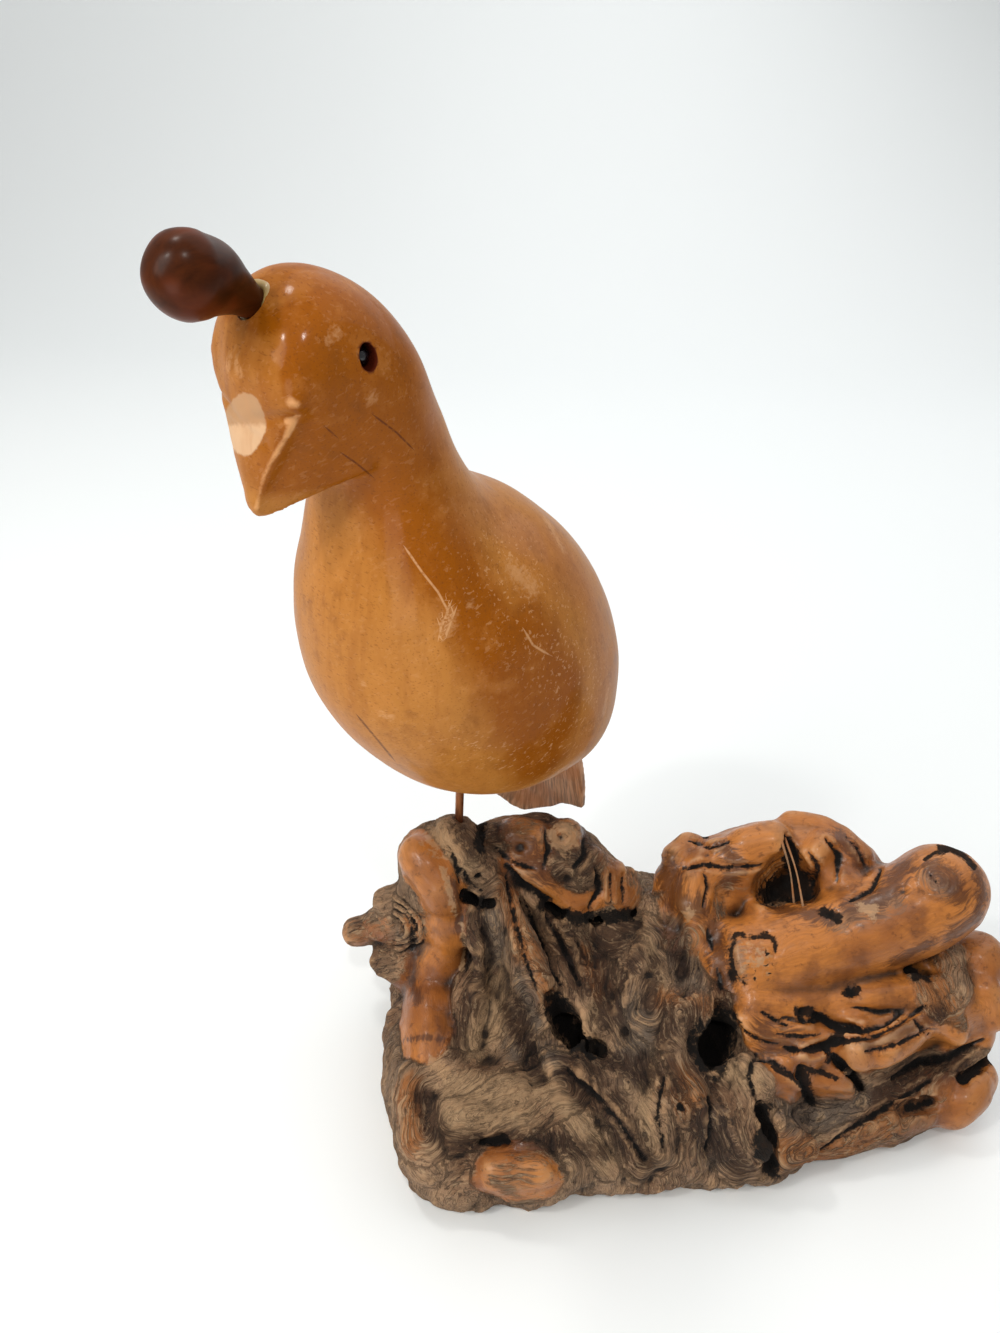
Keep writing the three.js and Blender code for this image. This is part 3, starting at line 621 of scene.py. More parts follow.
def spline(stops, t):
    """Points at t, from 0 to 1, on a smooth curve through the stops. Every column is curved alike."""
    stops = np.asarray(stops, float)
    padded = np.vstack([2 * stops[0] - stops[1], stops, 2 * stops[-1] - stops[-2]])
    place = np.clip(np.asarray(t, float), 0, 1) * (len(stops) - 1)
    first = np.minimum(place.astype(int), len(stops) - 2)
    w = (place - first)[:, None]
    p0, p1, p2, p3 = (padded[first + i] for i in range(4))
    m1, m2 = 0.5 * (p2 - p0), 0.5 * (p3 - p1)
    return p1 + w * (m1 + w * (3 * (p2 - p1) - 2 * m1 - m2 + w * (2 * (p1 - p2) + m1 + m2)))


def unit(vectors):
    return vectors / np.maximum(np.linalg.norm(vectors, axis=-1, keepdims=True), 1e-12)


def step(values, low, high):
    """A smooth 0 to 1 as the values pass from low to high."""
    t = np.clip((values - low) / (high - low), 0, 1)
    return t * t * (3 - 2 * t)


def bell(distance, reach):
    """A smooth 1 to 0 as the distance grows past the reach."""
    return np.exp(-(distance / reach) ** 2)


def noise(points, seed):
    """Smooth gradient noise, between about -1 and 1, of one cell per unit."""
    draw = np.random.default_rng(seed)
    order = draw.permutation(256)
    slopes = unit(draw.normal(size=(256, 3)))
    cell = np.floor(points).astype(int)
    inside = points - cell
    fade = inside**3 * (inside * (inside * 6 - 15) + 10)
    total = np.zeros(len(points))
    for corner in np.ndindex(2, 2, 2):
        at = (cell + corner) & 255
        slope = slopes[order[(order[(order[at[:, 0]] + at[:, 1]) & 255] + at[:, 2]) & 255]]
        weight = np.prod(np.where(corner, fade, 1 - fade), axis=1)
        total += weight * np.sum(slope * (inside - corner), axis=1)
    return total * 1.6


def layered(points, seed, layers=3):
    return sum(noise(points * 2**i, seed + i) * 0.5**i for i in range(layers))


# Places: the bird's own directions and the camera's line of sight


def bird_points(forward, height, left):
    """Metres for places given along the bird, above the rod's foot and to the bird's left, in mm."""
    x = np.asarray(left, float)
    y = -np.asarray(forward, float)
    c, s = math.cos(FACING), math.sin(FACING)
    height = np.asarray(height, float) + 0 * x
    return np.stack([x * c - y * s, x * s + y * c, height], -1) * MM + np.array(FOOT)


def bird_point(stop, side=1):
    return bird_points(stop[0], stop[1], side * stop[2])


def flank_places(stops):
    """Places of [forward, height, left] stops on the bird's left and on its right."""
    return np.array([bird_point(stop, side) for side in (1, -1) for stop in stops])


def both_sides(places):
    """Places on the bird, in metres, and the same places on its other side."""
    return np.vstack([places, places - 2 * np.outer((places - np.array(FOOT)) @ LEFT, LEFT)])


def bird_stop(stop):
    """A [forward, height, left, radius] stop as [x, y, z, radius] from the foot, in mm."""
    place = (bird_points(*stop[:3]) - np.array(FOOT)) / MM
    return [*place, stop[3]]


def foot_metres(points):
    return np.asarray(points) * MM + np.array(FOOT)


def burl_metres(points):
    return np.asarray(points) * MM + BURL_ORIGIN


class Sight:
    """Casts pixels of the picture onto one piece."""

    WIDTH, HEIGHT = 1000, 1333

    def __init__(self, piece):
        stage = bpy.context.scene.quail_stage
        self.eye = FOOT + Vector(stage.offset)
        self.turn = camera_turn(stage)
        self.focal = stage.focal
        self.tree = BVHTree.FromObject(piece, bpy.context.evaluated_depsgraph_get())

    def spot(self, x, y):
        """The first place on the piece behind a pixel, or the nearest place to that line of sight."""
        away = Vector((x - self.WIDTH / 2, self.HEIGHT / 2 - y, -self.focal))
        ray = (self.turn @ away).normalized()
        hit = self.tree.ray_cast(self.eye, ray)
        if hit[0] is None:
            hit = self.tree.find_nearest(self.eye + ray * (FOOT - self.eye).length)
        return hit[0]

    def pixels(self, points):
        """The pixel that each point, in metres, falls on."""
        seen = (points - np.array(self.eye)) @ np.array(self.turn)
        right, up = self.focal * seen[:, :2].T / seen[:, 2]
        return self.WIDTH / 2 - right, self.HEIGHT / 2 + up

    def stroke(self, pixels, pace=3.0):
        """Places on the piece along a line of pixels."""
        spots = [self.spot(*pixels[0])]
        for (x0, y0), (x1, y1) in zip(pixels, pixels[1:]):
            count = max(1, round(math.hypot(x1 - x0, y1 - y0) / pace))
            for i in range(1, count + 1):
                w = i / count
                spots.append(self.spot(x0 + (x1 - x0) * w, y0 + (y1 - y0) * w))
        return np.array(spots)


def camera_turn(stage):
    """The camera's rotation: level, then down by its pitch, then leaned by its roll."""
    return Matrix.Rotation(math.pi / 2 - stage.pitch, 3, "X") @ Matrix.Rotation(-stage.roll, 3, "Z")


# Meshes


class Skin:
    """A mesh's points with their neighbours, in mm from an origin, for shaping and painting."""

    def __init__(self, piece, origin=(0, 0, 0)):
        self.mesh = piece.data
        self.origin = np.asarray(origin, float)
        flat = np.empty(len(self.mesh.vertices) * 3)
        self.mesh.vertices.foreach_get("co", flat)
        self.points = (flat.reshape(-1, 3) - self.origin) / MM
        ends = np.empty(len(self.mesh.edges) * 2, np.int32)
        self.mesh.edges.foreach_get("vertices", ends)
        self.a, self.b = ends[0::2], ends[1::2]
        self.degree = np.bincount(self.a, minlength=len(self.points))
        self.degree = np.maximum(self.degree + np.bincount(self.b, minlength=len(self.points)), 1)

    def average(self, values):
        """The mean of each point's neighbours."""
        columns = values.reshape(len(values), -1)
        out = np.empty_like(columns)
        for k, column in enumerate(columns.T):
            total = np.bincount(self.a, column[self.b], len(columns))
            out[:, k] = (total + np.bincount(self.b, column[self.a], len(columns))) / self.degree
        return out.reshape(values.shape)

    def smooth(self, values, rounds, weight=1.0):
        weight = np.asarray(weight, float)
        if values.ndim > 1 and weight.ndim:
            weight = weight[:, None]
        for _ in range(rounds):
            values = values + 0.6 * weight * (self.average(values) - values)
        return values

    def write(self):
        self.mesh.vertices.foreach_set("co", (self.points * MM + self.origin).astype(np.float32).ravel())
        self.mesh.update()

    def normals(self):
        self.write()
        flat = np.empty(len(self.points) * 3, np.float32)
        self.mesh.vertex_normals.foreach_get("vector", flat)
        return flat.reshape(-1, 3).astype(float)

    def swell(self, height):
        """Moves each point out by its height, in mm, and writes the mesh."""
        self.points += self.normals() * height[:, None]
        self.write()

    def away(self, places):
        """Each point's distance to the nearest of the places, in mm."""
        places = (np.atleast_2d(places) - self.origin) / MM
        nearest = np.full(len(self.points), np.inf)
        for place in places:
            nearest = np.minimum(nearest, np.sum((self.points - place) ** 2, axis=1))
        return np.sqrt(nearest)

    def field(self, places, reach):
        """1 on the places, a half at the reach and 0 at twice the reach."""
        return np.clip(1 - 0.5 * self.away(places) / reach, 0, 1)

    def slit(self, places, reach):
        """The same along a line that narrows toward its ends."""
        places = (places - self.origin) / MM
        out = np.zeros(len(self.points))
        for place, run in zip(places, np.linspace(0, 1, len(places))):
            width = reach * (0.45 + 0.65 * math.sin(math.pi * run))
            out = np.maximum(out, 1 - 0.5 * np.linalg.norm(self.points - place, axis=1) / width)
        return out

    def hollow(self, rounds):
        """How far each point lies below its surroundings, in mm."""
        return np.sum((self.smooth(self.points, rounds) - self.points) * self.normals(), axis=1)

    def paint(self, name, values):
        kind = "FLOAT_VECTOR" if values.ndim > 1 else "FLOAT"
        layer = self.mesh.attributes.new(name, kind, "POINT")
        layer.data.foreach_set("vector" if values.ndim > 1 else "value", values.astype(np.float32).ravel())


def deselect():
    bpy.ops.object.select_all(action="DESELECT")


def choose(*pieces):
    """Selects these pieces only, the first of them active."""
    deselect()
    for piece in pieces:
        piece.select_set(True)
    bpy.context.view_layer.objects.active = pieces[0]


def named(piece, name):
    piece.name = piece.data.name = name
    return piece


def join(pieces, name):
    choose(*pieces)
    bpy.ops.object.join()
    return named(bpy.context.object, name)


def primitive(kind, **settings):
    """Adds a primitive and moves its place into its mesh."""
    deselect()
    getattr(bpy.ops.mesh, f"primitive_{kind}_add")(**settings)
    bpy.ops.object.transform_apply()
    return bpy.context.object


def from_points(name, points, faces):
    """A piece from points in metres."""
    mesh = bpy.data.meshes.new(name)
    mesh.from_pydata([tuple(point) for point in points], [], faces)
    piece = bpy.data.objects.new(name, mesh)
    bpy.context.collection.objects.link(piece)
    return piece


def edit(piece, *steps):
    """Runs edit mode steps, each an operator and its settings, on the whole piece."""
    choose(piece)
    bpy.ops.object.mode_set(mode="EDIT")
    bpy.ops.mesh.select_all(action="SELECT")
    for operator, settings in steps:
        operator(**settings)
    bpy.ops.object.mode_set(mode="OBJECT")


def modify(piece, kind, **settings):
    """Adds a modifier and applies it."""
    choose(piece)
    modifier = piece.modifiers.new(kind.title(), kind)
    for key, value in settings.items():
        setattr(modifier, key, value)
    bpy.ops.object.modifier_apply(modifier=modifier.name)


def face_out(piece):
    edit(piece, (bpy.ops.mesh.remove_doubles, {"threshold": 1e-7}),
         (bpy.ops.mesh.normals_make_consistent, {"inside": False}))


def cut(piece, cutter):
    """Takes the cutter's shape out of the piece."""
    face_out(cutter)
    modify(piece, "BOOLEAN", operation="DIFFERENCE", solver="MANIFOLD", object=cutter)
    bpy.data.objects.remove(cutter)
    if not piece.data.polygons:
        raise RuntimeError(f"{piece.name} vanished as it was cut")


def roughen(piece, origin, height, size, seed):
    """Gives a piece gentle lumps of this height and size, in mm."""
    skin = Skin(piece, origin)
    skin.swell(height * noise(skin.points / size, seed))


def bar(start, end, radius, vertices):
    """A closed cylinder between two places, all in metres."""
    along = end - start
    return primitive(
        "cylinder", vertices=vertices, radius=radius, depth=along.length, location=(start + end) / 2,
        rotation=along.to_track_quat("Z", "Y").to_euler())


def shaped_sphere(around, along, place):
    """A sphere whose poles become the ends of a run. place(angle, run) gives each point in metres."""
    piece = primitive("uv_sphere", segments=around, ring_count=along, radius=1)
    flat = np.empty(len(piece.data.vertices) * 3)
    piece.data.vertices.foreach_get("co", flat)
    v = flat.reshape(-1, 3)
    run = np.arccos(np.clip(v[:, 2], -1, 1)) / math.pi
    angle = np.arctan2(v[:, 1], v[:, 0])
    piece.data.vertices.foreach_set("co", place(angle, run).astype(np.float32).ravel())
    piece.data.update()
    return piece


class Limb:
    """A rounded limb along a smooth line through [x, y, z, radius] stops, with its own directions."""

    SAMPLES = 24

    def __init__(self, stops):
        run = spline(stops, np.linspace(0, 1, self.SAMPLES))
        self.centre, self.radius = run[:, :3], run[:, 3]
        self.tangent = unit(np.gradient(self.centre, axis=0))
        side = np.cross([0, 0, 1], self.tangent)
        flat = np.sum(side**2, axis=1, keepdims=True) < 0.02
        self.side = unit(np.where(flat, [1.0, 0, 0], side))
        self.up = unit(np.cross(self.tangent, self.side))
        steps = np.linalg.norm(np.diff(self.centre, axis=0), axis=1)
        self.reach = np.concatenate([[0], np.cumsum(steps)])

    def at(self, values, s):
        return np.stack([np.interp(s, self.reach, column) for column in np.atleast_2d(values.T)], -1)

    def place(self, angle, run):
        """Points on the limb: its ends are round caps."""
        length, first, last = self.reach[-1], self.radius[0], self.radius[-1]
        s = -first + (length + first + last) * (0.5 - 0.5 * np.cos(run * math.pi))
        past = np.where(s < 0, s / first, np.maximum(0, s - length) / last)
        over = np.where(s < 0, s, np.maximum(0, s - length))[:, None]
        radius = self.at(self.radius, s) * np.sqrt(np.maximum(0, 1 - past**2))[:, None]
        sideways = self.at(self.side, s) * np.cos(angle)[:, None]
        upward = self.at(self.up, s) * np.sin(angle)[:, None]
        return self.at(self.centre, s) + self.at(self.tangent, s) * over + radius * (sideways + upward)

    def mesh(self, to_metres, around=40, along=30):
        return shaped_sphere(around, along, lambda angle, run: to_metres(self.place(angle, run)))


def finish_piece(piece, node, material, smooth_angle=None):
    """Gives a finished piece its material and its place in the frame."""
    piece.data.materials.clear()
    piece.data.materials.append(material)
    choose(piece)
    if smooth_angle is None:
        bpy.ops.object.shade_smooth()
    else:
        bpy.ops.object.shade_smooth_by_angle(angle=smooth_angle)
    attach(piece, BODY)
    if node:
        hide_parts(node)
    deselect()


# Finishes


def tone(red, green, blue):
    """A colour given as it shows on a screen, 0 to 255, as the shader takes it."""
    shown = (channel / 255 for channel in (red, green, blue))
    return tuple(v / 12.92 if v < 0.0404 else ((v + 0.055) / 1.055) ** 2.4 for v in shown) + (1,)


def shade_of(colour, factor=1.0):
    return tuple(min(1.0, channel * factor) for channel in colour) + (1,)


class Finish:
    """A node material with short ways to wire it."""

    def __init__(self, name, **constants):
        self.material = bpy.data.materials.new(name)
        self.material.use_nodes = True
        self.tree = self.material.node_tree
        self.shader = self.tree.nodes["Principled BSDF"]
        for socket, value in constants.items():
            self.shader.inputs[socket.replace("_", " ")].default_value = value

    def node(self, kind, inputs=None, **settings):
        made = self.tree.nodes.new("ShaderNode" + kind)
        for key, value in settings.items():
            setattr(made, key, value)
        for key, value in (inputs or {}).items():
            self.plug(made.inputs[key], value)
        return made

    def plug(self, socket, value):
        if isinstance(value, bpy.types.NodeSocket):
            self.tree.links.new(value, socket)
        else:
            socket.default_value = value

    def attribute(self, name, vector=False):
        made = self.node("Attribute", attribute_name=name)
        return made.outputs["Vector" if vector else "Fac"]

    def place(self, scale, turn=(0, 0, 0), source=None):
        """Object coordinates, or the source's, turned and then scaled."""
        source = source or self.node("TexCoord").outputs["Object"]
        scale = scale if isinstance(scale, tuple) else (scale,) * 3
        turned = self.node("Mapping", {"Vector": source, "Rotation": turn}).outputs[0]
        return self.node("VectorMath", {0: turned, 1: scale}, operation="MULTIPLY").outputs[0]

    def noise(self, vector, detail=3.0, roughness=0.55, distortion=0.0):
        inputs = {"Vector": vector, "Scale": 1.0, "Detail": detail}
        inputs.update({"Roughness": roughness, "Distortion": distortion})
        return self.node("TexNoise", inputs).outputs["Fac"]

    def math(self, operation, a, b=0.0, clamp=False):
        return self.node("Math", {0: a, 1: b}, operation=operation, use_clamp=clamp).outputs[0]

    def add(self, a, b):
        return self.math("ADD", a, b)

    def times(self, a, b):
        return self.math("MULTIPLY", a, b)

    def ramp(self, value, low, high, to_low=0.0, to_high=1.0):
        """A smooth change from one number to another as the value passes from low to high."""
        return self.node("MapRange", {"Value": value, "From Min": low, "From Max": high, "To Min": to_low,
                                      "To Max": to_high}, interpolation_type="SMOOTHSTEP").outputs[0]

    def spread(self, pattern, reach):
        """A noise pattern as a number from minus to plus the reach."""
        return self.ramp(pattern, 0.3, 0.7, -reach, reach)

    def ragged(self, name, pattern, reach):
        """A painted mask with its edge broken up by a pattern."""
        return self.add(self.attribute(name), self.spread(pattern, reach))

    def seam(self, pattern):
        """1 on the thin lines where a pattern passes its middle."""
        return self.ramp(self.math("ABSOLUTE", self.math("SUBTRACT", pattern, 0.5)), 0.0, 0.035, 1, 0)

    def mix(self, factor, a, b):
        return self.node("Mix", {"Factor": factor, 6: a, 7: b}, data_type="RGBA").outputs[2]

    def tints(self, colour, *rows):
        """Tints over a colour, each as (pattern, low, high, weight, screen colour)."""
        for pattern, low, high, weight, tint in rows:
            colour = self.mix(self.ramp(pattern, low, high, 0, weight), colour, tone(*tint))
        return colour

    def bump(self, height, distance, strength):
        return self.node("Bump", {"Height": height, "Distance": distance, "Strength": strength}).outputs[0]

    def fine_line(self, name, flecks, half, weight):
        """A thin line where the painted offset passes zero, in the picture's pixels, worn by flecks."""
        beside, past, near = self.node("SeparateXYZ", {0: self.attribute(name, True)}).outputs
        width = self.ramp(past, -9, 1.5, half, 0.2)
        thin = self.math("DIVIDE", self.math("ABSOLUTE", beside), width)
        shown = self.times(self.ramp(thin, 0.35, 1.1, weight, 0), self.ramp(near, 0.9, 1))
        shown = self.times(shown, self.ramp(past, 1.5, 0))
        return self.times(shown, self.ramp(flecks, 0.3, 0.5, 0.45, 1))

    def set(self, **sockets):
        for socket, value in sockets.items():
            self.plug(self.shader.inputs[socket.replace("_", " ")], value)
        return self.material


# Turns object coordinates to the bird's own directions.
GRAIN_TURN = (0, 0, -FACING)


def carved_wood_finish(colours):
    """Orange brown wood: broad figure, short pores, lacquer, a bare patch and pale scuffs."""
    f = Finish("carved_wood", Coat_Weight=0.18, Coat_Roughness=0.13, Specular_IOR_Level=0.03)
    broad = f.noise(f.place((30, 30, 11), GRAIN_TURN), 4, 0.55, 0.5)
    streak = f.noise(f.place((330, 330, 60), GRAIN_TURN), 3, 0.6, 0.3)
    pores = f.noise(f.place((700, 2400, 2600), GRAIN_TURN), 1.5, 0.5)
    flecks = f.noise(f.place((520, 1100, 1100), (0.5, 0.4, 0.3)), 2, 0.6, 0.5)
    mottle = f.noise(f.place(150), 4, 0.65)
    wander = f.add(f.spread(broad, 0.1), f.spread(streak, 0.03))
    # The brown mask holds browner wood and the painted shade on the head's sides.
    brown = f.ramp(f.add(f.attribute("brown"), wander), 0.1, 0.75)
    colour = f.tints(
        f.mix(brown, shade_of(colours.gold), shade_of(colours.brown)),
        # The pinkish rim is a painted reflection.
        (f.add(f.attribute("rim_sheen"), wander), 0.2, 0.95, 0.6, (172, 112, 66)),
        (broad, 0.42, 0.68, 0.28, (160, 92, 30)),
        (streak, 0.45, 0.7, 0.22, (126, 66, 18)),
        (mottle, 0.5, 0.75, 0.25, (206, 140, 74)),
        (mottle, 0.46, 0.32, 0.3, (118, 66, 20)),
        (pores, 0.58, 0.72, 0.4, (104, 52, 16)))
    scuffed = f.times(f.ramp(flecks, 0.6, 0.66), f.attribute("scuffed"))
    smudged = f.ramp(f.ragged("smudge", flecks, 0.35), 0.1, 1.1, 0, 0.36)
    scratched = f.fine_line("scratch", flecks, 1.5, 0.65)
    pale = f.math("MAXIMUM", f.times(scuffed, 0.45), f.math("MAXIMUM", smudged, scratched))
    colour = f.mix(pale, colour, tone(214, 164, 116))
    # Pale edges: worn wood on the bill's ridges with painted highlights on them.
    colour = f.tints(colour, (f.ragged("edge", mottle, 0.2), 0.3, 0.9, 0.7, (226, 168, 112)))
    worn = f.ramp(f.ragged("worn", mottle, 0.03), 0.475, 0.525)
    # The bare patch is painted lighter below the bill's crease: painted light on the facet that faces up.
    bare = f.mix(f.attribute("patch_lit_below_crease"), tone(184, 144, 106), tone(214, 176, 138))
    bare = f.tints(bare, (streak, 0.4, 0.7, 0.35, (196, 146, 102)))
    colour = f.mix(f.times(worn, 0.88), colour, bare)
    colour = f.mix(f.attribute("hole"), colour, tone(74, 26, 12))
    colour = f.mix(f.fine_line("crack", flecks, 1.3, 0.7), colour, tone(76, 34, 12))
    rough = f.add(f.ramp(mottle, 0.3, 0.7, 0.36, 0.48), f.times(worn, 0.25))
    height = f.add(f.times(pores, -0.3), f.times(streak, 0.5))
    return f.set(Base_Color=colour, Roughness=rough, Normal=f.bump(height, 0.00012, 0.5))


def dark_wood_finish(colours):
    f = Finish("dark_wood", Coat_Weight=0.12, Coat_Roughness=0.22, Specular_IOR_Level=0.05)
    long_grain = f.noise(f.place((260, 50, 260), GRAIN_TURN), 4, 0.6, 0.4)
    cloud = f.noise(f.place(70), 2)
    colour = f.mix(f.ramp(long_grain, 0.35, 0.7), shade_of(colours.dark), shade_of(colours.dark, 0.45))
    colour = f.mix(f.ramp(cloud, 0.4, 0.7, 0, 0.5), colour, shade_of(colours.dark, 0.3))
    colour = f.tints(colour, (cloud, 0.5, 0.35, 0.45, (112, 48, 20)))
    return f.set(Base_Color=colour, Roughness=0.36, Normal=f.bump(long_grain, 0.0001, 0.3))


def tail_wood_finish(colours):
    f = Finish("tail_wood", Coat_Weight=0.15, Coat_Roughness=0.3, Specular_IOR_Level=0.2)
    barbs = f.noise(f.attribute("fan", True), 4, 0.6, 0.3)
    cloud = f.noise(f.place(60), 3)
    colour = f.mix(f.ramp(barbs, 0.38, 0.64), shade_of(colours.tail, 1.15), shade_of(colours.tail, 0.5))
    colour = f.tints(colour, (cloud, 0.45, 0.62, 0.6, (176, 108, 58)))
    return f.set(Base_Color=colour, Roughness=0.45, Normal=f.bump(barbs, 0.0003, 0.6))


def root_wood_finish(colours):
    """Polished orange lobes that fade into dry grey brown fibres, with black painted shade in the crevices.
    """
    f = Finish("root_wood", Specular_IOR_Level=0.3, Coat_Roughness=0.18)
    grain, cavity, valley = f.attribute("grain", True), f.attribute("cavity"), f.attribute("valley")
    strand = f.noise(f.place((0.045, 0.4, 0.4), source=grain), 3, 0.6, 0.5)
    fibre = f.noise(f.place((0.11, 0.95, 0.95), source=grain), 4, 0.65, 0.6)
    fine = f.noise(f.place((0.45, 3.2, 3.2), source=grain), 3, 0.6)
    crumb = f.noise(f.place((0.35, 0.8, 0.8), source=grain), 5, 0.75, 0.2)
    cloud = f.noise(f.place(75), 4, 0.6)
    patch = f.noise(f.place(33), 4, 0.55)
    fleck = f.noise(f.place(430), 4, 0.65)
    gap = f.times(f.seam(strand), f.ramp(f.attribute("sandy"), 0.2, 0.8, 1, 0.45))

    def painted(colour, *rows):
        """Tints where the piece is painted so, each as (mask, weight, screen colour)."""
        for name, weight, tint in rows:
            colour = f.tints(colour, (f.ragged(name, fibre, 0.3), 0.2, 0.8, weight, tint))
        return colour

    weathered, polished = colours.weathered, colours.polished
    dry = f.mix(f.ramp(cloud, 0.36, 0.64), shade_of(weathered, 0.7), shade_of(weathered, 1.45))
    dry = f.tints(dry, (patch, 0.46, 0.62, 0.6, (98, 64, 40)))
    dry = painted(dry, ("sandy", 0.8, (164, 134, 100)), ("warm", 0.85, (148, 90, 42)))
    dry = painted(dry, ("grey", 0.75, (98, 88, 78)))
    dry = f.tints(dry, (fibre, 0.47, 0.34, 0.6, (170, 140, 106)))
    # Dark strokes: darker wood and painted shade in the recesses.
    dry = painted(dry, ("dark", 0.85, (54, 33, 20)))
    dry = f.tints(
        dry,
        (crumb, 0.46, 0.34, 0.45, (172, 144, 112)),
        (crumb, 0.52, 0.66, 0.6, (50, 35, 26)),
        (fine, 0.5, 0.7, 0.5, (58, 42, 32)))
    dry = f.mix(f.times(f.seam(fibre), f.ramp(cloud, 0.4, 0.6, 0.4, 0.15)), dry, tone(52, 36, 26))
    dry = f.mix(f.times(gap, f.ramp(patch, 0.4, 0.6, 0.25, 0.65)), dry, tone(34, 24, 18))
    lobe = f.tints(
        f.mix(f.ramp(fibre, 0.36, 0.64), shade_of(polished, 1.06), shade_of(polished, 0.86)),
        (patch, 0.44, 0.6, 0.65, (130, 74, 34)),
        (cloud, 0.48, 0.66, 0.65, (104, 58, 28)),
        # Ridges of the lobes painted lighter: partly wear, partly a painted highlight.
        (valley, -0.2, -0.9, 0.45, (214, 156, 98)),
        (fleck, 0.56, 0.68, 0.5, (84, 46, 24)))
    # Dark strokes on the lobes: darker wood and painted shade.
    lobe = painted(lobe, ("grey", 0.6, (112, 92, 74)), ("dark", 0.8, (72, 38, 18)))
    blur = f.add(f.spread(cloud, 0.2), f.spread(fibre, 0.14))
    polish = f.ramp(f.add(f.attribute("polish"), blur), 0.34, 0.66)
    # Black: painted shade in the holes and cracks, and the old bark.
    black_shade_and_bark = f.ramp(f.ragged("black", fleck, 0.2), 0.42, 0.66, 0.0, 0.96)
    colour = f.tints(
        f.mix(polish, dry, lobe),
        # Ridges painted lighter, partly wear and partly painted light; valleys and hollows get painted
        # shade.
        (cavity, -0.1, -0.45, 0.48, (200, 158, 116)),
        (valley, 0.0, 0.7, 0.84, (40, 26, 18)),
        (cavity, 0.04, 0.36, 0.9, (24, 16, 12)),
        # Pale spots, partly painted highlights, and the pale bark.
        (f.ragged("pale", fleck, 0.3), 0.4, 0.7, 0.6, (180, 144, 106)))
    colour = f.mix(black_shade_and_bark, colour, tone(13, 10, 8))
    rough = f.add(f.ramp(polish, 0, 1, 0.8, 0.36), f.ramp(fleck, 0.3, 0.7, -0.05, 0.1))
    rough = f.math("ADD", rough, f.times(black_shade_and_bark, 0.6), clamp=True)
    height = f.add(f.times(fibre, 0.6), f.times(fine, 0.35))
    height = f.math("SUBTRACT", height, f.times(gap, 0.4))
    height = f.math("SUBTRACT", height, f.times(crumb, 0.6))
    height = f.times(height, f.ramp(polish, 0, 1, 1.0, 0.08))
    coat = f.times(f.ramp(polish, 0.6, 1, 0, 0.2), f.ramp(black_shade_and_bark, 0, 0.3, 1, 0))
    coat = f.times(coat, f.ramp(fleck, 0.56, 0.44, 0.3, 1))
    return f.set(Base_Color=colour, Roughness=rough, Coat_Weight=coat, Normal=f.bump(height, 0.0011, 0.85))


def leg_wire_finish():
    f = Finish("leg_wire", Metallic=0.55)
    stain = f.noise(f.place((500, 500, 160)), 3, 0.6)
    colour = f.mix(f.ramp(stain, 0.35, 0.7), tone(150, 92, 50), tone(92, 48, 24))
    rough = f.ramp(stain, 0.3, 0.7, 0.32, 0.5)
    return f.set(Base_Color=colour, Roughness=rough, Normal=f.bump(stain, 0.0001, 0.4))


def eye_glass_finish():
    f = Finish("eye_glass", Coat_Weight=0.5, Coat_Roughness=0.12)
    haze = f.noise(f.place(900), 2)
    colour = f.mix(f.ramp(haze, 0.3, 0.7), tone(8, 8, 11), tone(20, 19, 24))
    return f.set(Base_Color=colour, Roughness=f.ramp(haze, 0.3, 0.7, 0.2, 0.3))


def glue_finish():
    f = Finish("clear_glue", Transmission_Weight=0.35, Coat_Weight=0.4, Coat_Roughness=0.1)
    cloud = f.noise(f.place(600), 2)
    return f.set(Base_Color=f.mix(cloud, tone(214, 184, 116), tone(186, 150, 84)), Roughness=0.3)


def stage_finish(colours):
    f = Finish("stage_floor")
    cloud = f.noise(f.place(3), 2)
    colour = f.mix(cloud, shade_of(colours.floor), shade_of(colours.floor, 0.98))
    return f.set(Base_Color=colour, Roughness=0.55)


# Pieces


